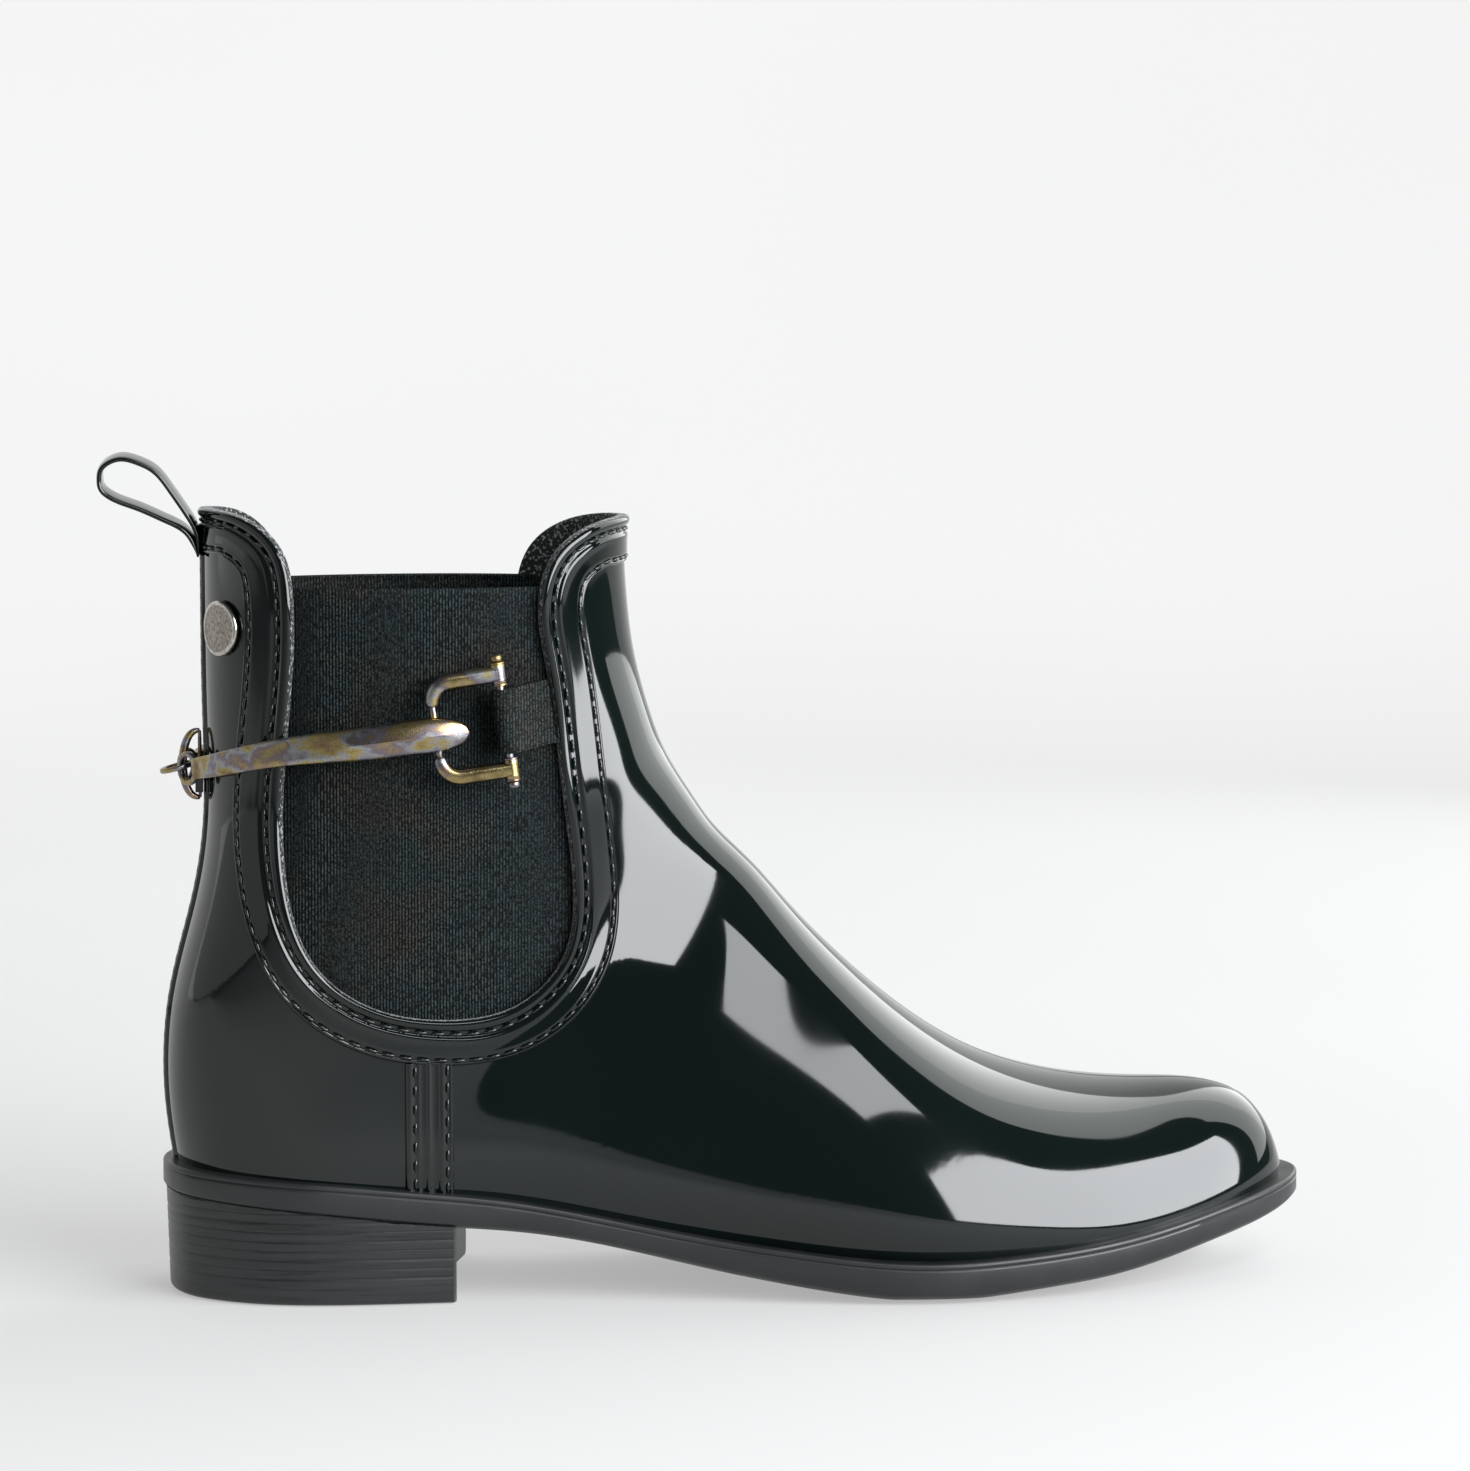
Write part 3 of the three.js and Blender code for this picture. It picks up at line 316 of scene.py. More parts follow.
def upper_normal(at, turn):
    step = 2e-3
    forward = upper_point(at + step, turn) - upper_point(at - step, turn)
    round_it = upper_point(at, turn + step) - upper_point(at, turn - step)
    normal = unit(np.cross(forward, round_it))
    middle = np.stack([middle_x(at) + 0 * turn, centre_line(at) + 0 * turn, middle_z(at) + 0 * turn], -1)
    outward = np.sum(normal * (upper_point(at, turn) - middle), -1, keepdims=True)
    return np.where(outward < 0, -normal, normal)


def offset_point(at, turn, offset):
    return upper_point(at, turn) + upper_normal(at, turn) * np.asarray(offset)[..., None]


def section_place(x, z):
    """Section, and place along it from -1 at the back to 1 in front, of a point in the side view."""
    near = np.full(np.shape(x), section_knots[1])
    far = np.full(np.shape(x), section_end)
    for _ in range(34):
        at = (near + far) / 2
        beyond = half_x(at) * (z - middle_z(at)) - half_z(at) * (x - middle_x(at)) > 0
        near, far = np.where(beyond, at, near), np.where(beyond, far, at)
    along = (x - middle_x(near)) * half_x(near) + (z - middle_z(near)) * half_z(near)
    return near, along / (half_x(near) ** 2 + half_z(near) ** 2)


def side_place(x, z):
    at, along = section_place(np.asarray(x, float), np.asarray(z, float))
    return at, np.arccos(-np.clip(along, -1, 1))


def lateral_point(x, z, offset):
    at, turn = side_place(x, z)
    return offset_point(at, turn, offset)


def back_seam_x(z):
    x = -HEEL_BACK
    for _ in range(3):
        x = float(upper_point(side_place(x, z)[0], 0.0)[0])
    return x - RAISE


seat_height = BALL_EDGE + HEEL_RISE
collar_height = seat_height + UPPER_HEIGHT
# Cut of gusset and collar in the side view: share of LENGTH, share of UPPER_HEIGHT over the seat
CUT = [
    (-0.042, 1.008), (0.021, 1.006), (0.070, 0.994), (0.100, 0.946), (0.109, 0.872), (0.105, 0.698),
    (0.101, 0.456), (0.128, 0.315), (0.178, 0.251), (0.234, 0.233), (0.294, 0.250), (0.339, 0.329),
    (0.347, 0.436), (0.338, 0.577), (0.325, 0.765), (0.318, 0.862), (0.331, 0.936), (0.365, 0.979),
    (0.409, 0.992), (0.469, 0.994),
]
CUT_SAMPLES = 6000
cut_line = smooth_line([(along_length(x), seat_height + z * UPPER_HEIGHT) for x, z in CUT], CUT_SAMPLES)


def cut_normals():
    """Directions away from the opening, eased round its corners."""
    run = unit(np.gradient(cut_line, axis=0))
    sharp = np.stack([run[:, 1], -run[:, 0]], 1)
    half = int(BORDER_EASE / (lengths_along(cut_line)[-1] / CUT_SAMPLES))
    window = np.hanning(2 * half + 1)
    window = window / window.sum()
    eased = [np.convolve(np.pad(sharp[:, k], half, mode="edge"), window, "valid") for k in (0, 1)]
    return unit(np.stack(eased, 1))


cut_side = cut_normals()


def border_rows():
    """Rows across the lateral border: section and turn at the opening, and at its inner line."""
    at, along = section_place(cut_line[:, 0], cut_line[:, 1])
    inner = cut_line + BORDER_WIDTH * cut_side
    inner_at, inner_along = section_place(inner[:, 0], inner[:, 1])
    on_boot = np.abs(along) <= 1
    turn = np.arccos(-np.clip(along, -1, 1))
    inner_turn = np.arccos(-np.clip(inner_along, -1, 1))
    near_middle = smooth_step(np.abs(along), 0.80, 0.95)
    inner_turn = inner_turn + (turn - inner_turn) * near_middle
    rows = np.stack([at, turn, inner_at, inner_turn], 1)[on_boot]
    rows[0, [1, 3]] = 0
    rows[-1, [1, 3]] = math.pi
    travel = lengths_along(upper_point(rows[:, 0], rows[:, 1]))
    places = np.linspace(0, travel[-1], int(travel[-1] / STRIP_STEP) + 1)
    return np.stack([np.interp(places, travel, rows[:, k]) for k in range(4)], 1)


def mirrored_rows(rows):
    other = rows.copy()
    other[:, 1::2] = 2 * math.pi - other[:, 1::2]
    return other


lateral_rows = border_rows()
border_loop = np.concatenate([lateral_rows, mirrored_rows(lateral_rows)[-2:0:-1]])


def across_rows(rows, share):
    """Section and turn at a share of the way across the rows, turned the short way round."""
    return (
        rows[:, None, 0] + (rows[:, None, 2] - rows[:, None, 0]) * share,
        rows[:, None, 1] + (rows[:, None, 3] - rows[:, None, 1]) * share,
    )


def side_distance(x, z, line):
    """Distance in the side view to a line, above 0 on the opening's side."""
    flat = np.stack([np.ravel(x), np.ravel(z)], 1)
    best = np.full(len(flat), np.inf)
    result = np.zeros(len(flat))
    start, run = line[:-1], np.diff(line, axis=0)
    size = np.sum(run * run, 1)
    for a, d, s in zip(start, run, size):
        off = flat - a
        share = np.clip((off @ d) / s, 0, 1)
        miss = off - share[:, None] * d
        far = np.sum(miss * miss, 1)
        closer = far < best
        best = np.where(closer, far, best)
        side = np.sign(d[0] * off[:, 1] - d[1] * off[:, 0])
        result = np.where(closer, side, result)
    return (np.sqrt(best) * result).reshape(np.shape(x))


def cut_at(distance, points=220):
    """The cut moved away from the opening, for the side view."""
    line = cut_line + distance * cut_side
    return line[np.linspace(0, len(line) - 1, points).astype(int)]


# Meshes

def grid_faces(rows, columns, close_rows=False, close_columns=False):
    i = np.arange(rows if close_rows else rows - 1)[:, None]
    j = np.arange(columns if close_columns else columns - 1)[None, :]
    near, far = i * columns, (i + 1) % rows * columns
    right = (j + 1) % columns
    return np.stack([near + j, near + right, far + right, far + j], -1).reshape(-1, 4).tolist()


def turned_out(points, faces, facing):
    """Faces wound so that they look outwards, or the way of the given directions."""
    corners = np.array([face[:3] for face in faces])
    a, b, c = points[corners[:, 0]], points[corners[:, 1]], points[corners[:, 2]]
    normal = np.cross(b - a, c - a)
    outward = a - points.mean(0) if facing is None else facing[corners[:, 0]]
    if np.sum(normal * outward) < 0:
        return [face[::-1] for face in faces]
    return faces


def add_piece(
    name, points, faces, materials, slot, nodes=(), facing=None, normals=None, sharp=None, is_wound=False,
):
    """A mesh piece from millimetre points. It rides on the boot, and may stand for CAD nodes."""
    points = np.asarray(points, float).reshape(-1, 3)
    mesh = bpy.data.meshes.new(name)
    mesh.from_pydata((points * MM).tolist(), [], faces if is_wound else turned_out(points, faces, facing))
    mesh.update()
    mesh.shade_smooth()
    if sharp is not None:
        mesh.set_sharp_from_angle(angle=math.radians(sharp))
    if normals is not None:
        mesh.normals_split_custom_set_from_vertices(np.asarray(normals).reshape(-1, 3).tolist())
    for material in materials:
        mesh.materials.append(material)
    piece = bpy.data.objects.new(name, mesh)
    bpy.context.scene.collection.objects.link(piece)
    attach(piece, "root")
    if nodes:
        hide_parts(*nodes)
    return piece


def snapped_grid(u, v, scale, distance, close_columns=False):
    """A grid cut cleanly where distance passes 0: vertices beside the line move onto it.

    scale is the millimetres that one unit of u and of v is worth. Returns u, v and faces."""
    d = distance(u, v)
    snap = np.zeros(d.shape, bool)
    ways = [(slice(0, -1), slice(1, None), 0), (slice(0, -1), slice(1, None), 1)]
    for near, far, axis in ways:
        pick = (lambda s: (s, slice(None))) if axis == 0 else (lambda s: (slice(None), s))
        a, b = d[pick(near)], d[pick(far)]
        crossing = a * b < 0
        snap[pick(near)] |= crossing & (np.abs(a) <= np.abs(b))
        snap[pick(far)] |= crossing & (np.abs(a) > np.abs(b))
    if close_columns:
        crossing = d[:, -1] * d[:, 0] < 0
        snap[:, -1] |= crossing & (np.abs(d[:, -1]) <= np.abs(d[:, 0]))
        snap[:, 0] |= crossing & (np.abs(d[:, -1]) > np.abs(d[:, 0]))
    su, sv = u[snap], v[snap]
    for _ in range(4):
        step = 0.02
        here = distance(su, sv)
        slope_u = (distance(su + step / scale[0], sv) - here) / step
        slope_v = (distance(su, sv + step / scale[1]) - here) / step
        steep = np.maximum(slope_u ** 2 + slope_v ** 2, 0.05)
        su = su - here * slope_u / steep / scale[0]
        sv = sv - here * slope_v / steep / scale[1]
    u, v = u.copy(), v.copy()
    u[snap], v[snap], d[snap] = su, sv, 0
    faces = []
    level = d.ravel()
    for face in grid_faces(*d.shape, close_columns=close_columns):
        values = level[face]
        if values.max() <= 0:
            if values.min() < 0:
                faces.append(face)
        elif values.min() < 0:
            pairs = ((0, 1, 2), (0, 2, 3)) if values[0] == 0 and values[2] == 0 else ((1, 2, 3), (1, 3, 0))
            faces += [[face[k] for k in three] for three in pairs if sum(values[k] for k in three) < 0]
    return u, v, faces


def used_only(faces, *arrays):
    """Drops the points that no face uses."""
    used = np.unique(np.concatenate([np.array(face) for face in faces]))
    place = np.full(used.max() + 1, -1)
    place[used] = np.arange(len(used))
    kept = [array.reshape(-1, array.shape[-1])[used] for array in arrays]
    return [[int(place[k]) for k in face] for face in faces], kept


def lofted_faces(rings, count):
    """Rings joined side by side, both ends closed across their mirror line."""
    faces = grid_faces(rings, count, close_columns=True)
    for ring in (0, rings - 1):
        base = ring * count
        for j in range(count // 2):
            corners = [j, j + 1, count - j - 1, (count - j) % count]
            face = [base + k for k in dict.fromkeys(corners)]
            faces.append(face if ring else face[::-1])
    return faces


def capped_faces(rings, count):
    """Rings joined side by side, with one face over each end."""
    ends = [list(range(count))[::-1], list(range((rings - 1) * count, rings * count))]
    return grid_faces(rings, count, close_columns=True) + ends


def sweep(path, section, up=(0, 0, 1)):
    """Points and faces of a section carried along a path. section(t) gives (rise, side) pairs."""
    path = np.asarray(path, float)
    run = unit(np.gradient(path, axis=0))
    side = np.cross(run, np.array(up, float))
    weak = np.linalg.norm(side, axis=1) < 1e-6
    side[weak] = (0, 1, 0)
    side = unit(side)
    rise = np.cross(side, run)
    rows = []
    for i, point in enumerate(path):
        pairs = section(i / (len(path) - 1))
        rows.append(point + pairs[:, :1] * rise[i] + pairs[:, 1:] * side[i])
    points = np.array(rows)
    count = points.shape[1]
    faces = grid_faces(len(path), count, close_columns=True)
    last = (len(path) - 1) * count
    points = np.concatenate([points.reshape(-1, 3), path[:1], path[-1:]])
    top = len(points) - 2
    faces += [[(j + 1) % count, j, top] for j in range(count)]
    faces += [[last + j, last + (j + 1) % count, top + 1] for j in range(count)]
    return points, faces


def rounded_section(height, width, power, count=24):
    """Closed section between an ellipse (power 1) and a box (power near 0)."""
    angle = 2 * math.pi * np.arange(count) / count
    c, s = np.cos(angle), np.sin(angle)
    return np.stack([
        np.sign(c) * np.abs(c) ** power * height / 2,
        np.sign(s) * np.abs(s) ** power * width / 2,
    ], 1)


def joined(*bodies):
    """Several point and face lists as one."""
    points, faces, base = [], [], 0
    for body_points, body_faces in bodies:
        points.append(np.asarray(body_points, float))
        faces += [[k + base for k in face] for face in body_faces]
        base += len(body_points)
    return np.concatenate(points), faces


def mirrored(body):
    points, faces = body
    return points * (1, -1, 1), [face[::-1] for face in faces]


def wound(body):
    points, faces = body
    return points, turned_out(points, faces, None)


# Materials

def linear(hex_colour):
    """sRGB hex to linear."""
    parts = [int(hex_colour[k:k + 2], 16) / 255 for k in (1, 3, 5)]
    return tuple(p / 12.92 if p <= 0.04045 else ((p + 0.055) / 1.055) ** 2.4 for p in parts) + (1.0,)


def add_node(tree, kind, inputs=None, **settings):
    """One node with its settings, values and links."""
    made = tree.nodes.new(kind)
    for name, value in settings.items():
        setattr(made, name, value)
    for name, value in (inputs or {}).items():
        if isinstance(value, bpy.types.NodeSocket):
            tree.links.new(value, made.inputs[name])
        else:
            made.inputs[name].default_value = value
    return made


def new_material(name):
    material = bpy.data.materials.new(name)
    material.use_nodes = True
    tree = material.node_tree
    tree.nodes.clear()
    place = add_node(tree, "ShaderNodeTexCoord").outputs["Object"]
    return material, tree, place


def finish_material(tree, inputs):
    shader = add_node(tree, "ShaderNodeBsdfPrincipled", inputs)
    add_node(tree, "ShaderNodeOutputMaterial", {"Surface": shader.outputs["BSDF"]})
    return shader


def noise(tree, place, period_mm, detail=2.0, roughness=0.5):
    """Noise whose features are about period_mm across."""
    return add_node(tree, "ShaderNodeTexNoise", {
        "Vector": place, "Scale": 1 / (period_mm * MM), "Detail": detail, "Roughness": roughness,
    }).outputs["Fac"]


def ramp(tree, value, *stops):
    """Colour ramp through (position, hex colour) stops."""
    made = add_node(tree, "ShaderNodeValToRGB", {"Fac": value})
    elements = made.color_ramp.elements
    while len(elements) < len(stops):
        elements.new(0.5)
    for element, (position, colour) in zip(elements, stops):
        element.position = position
        element.color = linear(colour)
    return made.outputs["Color"]


def spread(tree, value, low, high, to_low, to_high):
    """Maps value from one range to another, without passing its ends."""
    return add_node(tree, "ShaderNodeMapRange", {
        "Value": value, "From Min": low, "From Max": high, "To Min": to_low, "To Max": to_high,
    }).outputs["Result"]


def combine(tree, operation, *values):
    return add_node(tree, "ShaderNodeMath", dict(enumerate(values)), operation=operation).outputs[0]


def blend(tree, share, first, second):
    """The first colour where share is 0, the second where it is 1."""
    return add_node(tree, "ShaderNodeMix", {0: share, 6: first, 7: second}, data_type="RGBA").outputs[2]


def stretched(tree, place, *scale):
    """The place, with features drawn out along the axes whose scale is under 1."""
    return add_node(tree, "ShaderNodeMapping", {"Vector": place, "Scale": scale}).outputs["Vector"]


def bump(tree, height, depth_mm, strength=1.0, below=None):
    inputs = {"Height": height, "Distance": depth_mm * MM, "Strength": strength}
    if below is not None:
        inputs["Normal"] = below
    return add_node(tree, "ShaderNodeBump", inputs).outputs["Normal"]


def injected_pvc():
    """Injection moulded glossy PVC: near black, mirror smooth, with faint flow marks and hazing."""
    material, tree, place = new_material("black_pvc_moulded_gloss")
    flow = bump(tree, noise(tree, place, 26, 1.0), 0.016)
    patches = spread(tree, noise(tree, place, 38, 1.0), 0.48, 0.62, 0.0, 1.0)
    waves = combine(tree, "MULTIPLY", noise(tree, place, 2.6, 1.0), patches)
    skin = bump(tree, waves, 0.011, below=flow)
    haze = spread(tree, noise(tree, place, 30, 3.0), 0.35, 0.7, 0.035, 0.085)
    tint = ramp(tree, noise(tree, place, 60, 1.0), (0.35, "#020807"), (0.65, "#030b0a"))
    finish_material(tree, {"Base Color": tint, "Roughness": haze, "IOR": 1.53, "Normal": skin})
    return material


def moulded_thread():
    """Stitches moulded in the same PVC: a little duller, because their twist scatters light, and a little
    lighter in colour, a painted sheen for that scattered light.
    """
    material, tree, place = new_material("black_pvc_moulded_stitch")
    # colour painted lighter than the wall's as a painted sheen for light scattered by the twist; its tone
    # also varies at random
    painted_sheen_tone = ramp(tree, noise(tree, place, 1.2, 2.0), (0.3, "#060c0b"), (0.7, "#0f1615"))
    finish_material(tree, {"Base Color": painted_sheen_tone, "Roughness": 0.16, "IOR": 1.53})
    return material


def sole_rubber():
    """Moulded PVC and rubber sole compound: satin, with a fine spark-eroded grain."""
    material, tree, place = new_material("black_rubber_moulded_satin")
    grain = bump(tree, noise(tree, place, 0.35, 2.0), 0.02, 0.6)
    worn = spread(tree, noise(tree, place, 9, 3.0), 0.35, 0.7, 0.34, 0.48)
    tint = ramp(tree, noise(tree, place, 25, 2.0), (0.35, "#131516"), (0.65, "#1b1d1e"))
    finish_material(tree, {"Base Color": tint, "Roughness": worn, "IOR": 1.52, "Normal": grain})
    return material


def heel_rubber():
    """The same compound cast over a stacked-leather master: thin irregular dark lines run level."""
    material, tree, place = new_material("black_rubber_stacked_heel")
    layers = noise(tree, stretched(tree, place, 0.06, 0.06, 1.0), 1.5, 4.0, 0.65)
    streaks = bump(tree, spread(tree, layers, 0.36, 0.50, 0.0, 1.0), 0.07, 0.7)
    grain = bump(tree, noise(tree, place, 0.35, 2.0), 0.02, 0.5, below=streaks)
    tint = ramp(tree, layers, (0.36, "#0b0c0c"), (0.44, "#17191a"), (0.7, "#1f2122"))
    finish_material(tree, {"Base Color": tint, "Roughness": 0.36, "IOR": 1.52, "Normal": grain})
    return material


def knitted_lining():
    """Black knitted polyester lining: matt, with pale flecks painted into its colour as highlights where its
    loops catch the light.
    """
    material, tree, place = new_material("black_knit_lining")
    cells = add_node(tree, "ShaderNodeTexVoronoi", {"Vector": place, "Scale": 1 / (KNIT_LOOP * MM)})
    # pale flecks painted into the colour: painted highlights for the loops that catch the light
    painted_highlight_fleck = spread(tree, noise(tree, place, 0.8, 2.0), 0.54, 0.62, 0.0, 1.0)
    colour = blend(tree, painted_highlight_fleck, linear("#0b0c0c"), linear("#7c8081"))
    finish_material(tree, {
        "Base Color": colour, "Roughness": 0.9, "IOR": 1.5, "Sheen Weight": 0.25, "Sheen Roughness": 0.4,
        "Normal": bump(tree, cells.outputs["Distance"], 0.25),
    })
    return material


def woven_elastic():
    """Rubber-cored elastic webbing: charcoal polyester ribs with a weft that speckles them."""
    material, tree, place = new_material("charcoal_elastic_webbing")
    along = add_node(tree, "ShaderNodeSeparateXYZ", {"Vector": place}).outputs["X"]
    rib = combine(tree, "COSINE", combine(tree, "MULTIPLY", along, 2 * math.pi / (RIB_PITCH * MM)))
    weft = noise(tree, stretched(tree, place, 1.4, 0.2, 1.0), 0.62, 2.0, 0.6)
    shade = spread(tree, rib, -0.9, 0.9, 0.0, 1.0)
    lit = combine(tree, "MULTIPLY", shade, spread(tree, weft, 0.42, 0.60, 0.0, 1.0))
    tint = ramp(
        tree, noise(tree, place, 17, 2.0),
        (0.30, "#2f3a38"), (0.45, "#2a363a"), (0.56, "#333a37"), (0.68, "#3a3632"),
    )
    finish_material(tree, {
        "Base Color": blend(tree, lit, linear("#020404"), tint),
        "Roughness": 0.8, "IOR": 1.5, "Specular IOR Level": 0.15,
        "Normal": bump(tree, weft, 0.12),
    })
    return material


def antique_gilt():
    """Zinc alloy plated light gold and aged: patches of purple, rose and grey over worn gold."""
    material, tree, place = new_material("antique_gilt_zinc_plated")
    patches = noise(tree, stretched(tree, place, 0.6, 1.0, 1.0), 9, 3.0, 0.62)
    tint = ramp(
        tree, patches,
        (0.30, "#7a6b49"), (0.40, "#a39266"), (0.46, "#8c796b"), (0.50, "#7a747c"), (0.55, "#98989c"),
        (0.60, "#a3935f"), (0.70, "#78604f"),
    )
    pits = noise(tree, place, 0.35, 3.0, 0.7)
    pitted = blend(tree, spread(tree, pits, 0.36, 0.48, 0.45, 0.0), tint, linear("#3a342c"))
    rough = spread(tree, patches, 0.35, 0.65, 0.20, 0.42)
    finish_material(tree, {
        "Base Color": pitted, "Metallic": 1.0, "Roughness": rough, "Normal": bump(tree, pits, 0.02),
    })
    return material


def cast_pewter():
    """Tumbled pewter-tone casting: warm grey with a mottled, sanded field."""
    material, tree, place = new_material("antique_pewter_tumbled")
    mottle = noise(tree, place, 0.7, 4.0, 0.7)
    tint = ramp(tree, mottle, (0.35, "#6b6661"), (0.5, "#948d86"), (0.65, "#aaa39c"))
    finish_material(tree, {
        "Base Color": tint, "Metallic": 1.0, "Roughness": 0.42, "Normal": bump(tree, mottle, 0.03),
    })
    return material


def polished_pewter():
    """The badge's rim, burnished bright where it is touched."""
    material, tree, place = new_material("antique_pewter_burnished")
    tint = ramp(tree, noise(tree, place, 1.5, 2.0), (0.35, "#a8a199"), (0.65, "#cfc9c1"))
    finish_material(tree, {"Base Color": tint, "Metallic": 1.0, "Roughness": 0.18})
    return material


pvc = injected_pvc()
stitch_pvc = moulded_thread()
rubber = sole_rubber()
stacked = heel_rubber()
knit = knitted_lining()
elastic = woven_elastic()
gilt = antique_gilt()
pewter = cast_pewter()
burnished = polished_pewter()


# Upper

TURN_REACH = 32.0   # millimetres that a turn of one radian is worth, on average


def upper_grid(offset, rows, around, edge, rim_lift):
    """The last's surface at an offset, cut at a distance from the opening and over the sole's rim."""
    line = cut_at(edge)
    at = section_end * np.linspace(0.004, 1, rows) ** 1.08
    turn = 2 * math.pi * np.arange(around) / around
    u, v = np.meshgrid(at, turn, indexing="ij")

    def distance(section, angle):
        place = offset_point(section, angle, np.full(np.shape(section), offset))
        over = side_distance(place[..., 0], place[..., 2], line)
        under = rim_height(place[..., 0]) + rim_lift - place[..., 2]
        return np.maximum(over, under)

    u, v, faces = snapped_grid(u, v, (1.0, TURN_REACH), distance, close_columns=True)
    normals = upper_normal(u, v)
    points = upper_point(u, v) + normals * offset
    return used_only(faces, points, normals)


def make_upper():
    rows = int(section_end / CELL)
    faces, (points, normals) = upper_grid(0.0, rows, around=250, edge=BORDER_LAP, rim_lift=-0.5)
    add_piece("upper_wall", points, faces, [pvc], "pvc", ["upper"], facing=normals, normals=normals)


def make_lining():
    faces, (points, normals) = upper_grid(-WALL, rows=170, around=150, edge=0.9, rim_lift=1.0)
    add_piece("upper_lining", points, faces, [knit], "lining", facing=-normals, normals=-normals)


# Across the border: distance from the opening's edge, height over the wall
BORDER_PROFILE = np.array([
    (3.00, -1.92), (1.20, -1.98), (0.55, -2.00), (0.22, -1.88), (0.05, -1.60), (0.00, -1.10),
    (0.00, -0.30), (0.00, 0.25), (0.06, 0.55), (0.22, 0.82), (0.48, 1.02), (0.82, 1.12), (1.16, 1.12),
    (1.50, 1.03), (1.78, 0.86), (2.00, 0.64), (2.18, 0.44), (2.40, 0.31), (2.70, 0.26), (3.05, 0.26),
    (3.35, 0.31), (3.55, 0.43), (3.72, 0.60), (3.92, 0.74), (4.20, 0.80), (4.50, 0.79), (4.90, 0.74),
    (5.60, 0.72), (6.50, 0.72), (7.40, 0.72), (7.90, 0.73), (8.15, 0.70), (8.35, 0.60), (8.50, 0.45),
    (8.70, 0.36), (8.95, 0.34), (9.20, 0.36), (9.36, 0.44), (9.50, 0.56), (9.66, 0.62), (9.84, 0.58),
    (10.00, 0.46), (10.14, 0.28), (10.28, 0.08), (10.40, -0.10),
])
LINING_FOLD = 8   # the lining is folded over these first steps of the profile


def make_border():
    share, height = BORDER_PROFILE[:, 0] / BORDER_WIDTH, BORDER_PROFILE[:, 1]
    at, turn = across_rows(border_loop, share[None, :])
    normals = upper_normal(at, turn)
    points = upper_point(at, turn) + normals * height[None, :, None]
    faces = grid_faces(*at.shape, close_rows=True)
    outer = np.where(height[None, :, None] > 0, normals, 0).reshape(-1, 3)
    piece = add_piece("collar_and_gusset_border", points, faces, [pvc, knit], "pvc", facing=outer)
    across = len(BORDER_PROFILE) - 1
    for face in piece.data.polygons:
        face.material_index = 1 if face.index % across < LINING_FOLD else 0


def stitch_shape(count_long=13, count_round=8):
    """One twisted stitch: long way, side way and height, each as a share."""
    long_way = np.linspace(-1, 1, count_long)[:, None]
    angle = 2 * math.pi * np.arange(count_round)[None, :] / count_round
    thick = (1 - np.abs(long_way) ** 3.5) ** 0.5 * (1 + 0.16 * np.cos(2 * angle + 9 * long_way))
    shape = np.stack([
        long_way + 0 * angle,
        np.cos(angle) * thick,
        np.sin(angle) * thick - 0.5 * long_way ** 2 + 0 * angle,
    ], -1)
    return shape, grid_faces(count_long, count_round, close_columns=True)


def stitches_on(points, normals, pitch=STITCH_PITCH, length=STITCH_LENGTH, width=STITCH_WIDTH, closed=False):
    """Stitches laid along a line of surface points."""
    if closed:
        points, normals = np.concatenate([points, points[:1]]), np.concatenate([normals, normals[:1]])
    travel = lengths_along(points)
    count = max(int(round(travel[-1] / pitch)), 1)
    places = (np.arange(count) + 0.5) * travel[-1] / count

    def line_at(place):
        return np.stack([np.interp(place, travel, points[:, k]) for k in range(3)], 1)

    shape, faces = stitch_shape()
    up = unit(np.stack([np.interp(places, travel, normals[:, k]) for k in range(3)], 1))
    run = unit(line_at(places + 0.5) - line_at(places - 0.5))
    aside = np.cross(up, run)
    middle = line_at(places)
    rows = middle[:, None, None, :] + (
        shape[None, ..., :1] * run[:, None, None, :] * length / 2
        + shape[None, ..., 1:2] * aside[:, None, None, :] * width / 2
        + shape[None, ..., 2:] * up[:, None, None, :] * width / 2
    )
    each = shape.shape[0] * shape.shape[1]
    all_faces = [[k + base * each for k in face] for base in range(count) for face in faces]
    return rows.reshape(-1, 3), all_faces


def stitch_row(at, turn, lift, **thread):
    normals = upper_normal(at, turn)[:, 0]
    return stitches_on(upper_point(at, turn)[:, 0] + normals * lift, normals, **thread)


def make_border_stitches():
    rows = []
    for place, lift in STITCH_ROWS:
        at, turn = across_rows(border_loop, np.array([[place / BORDER_WIDTH]]))
        rows.append(stitch_row(at, turn, lift, closed=True))
    add_piece("border_stitches", *joined(*rows), [stitch_pvc], "pvc")


def add_strip(name, at, turn, height):
    """A raised strip moulded on the wall, from sections and turns across it."""
    normals = upper_normal(at, turn)
    points = upper_point(at, turn) + normals * height[..., None]
    add_piece(name, points, grid_faces(*at.shape), [pvc], "pvc", facing=normals.reshape(-1, 3))


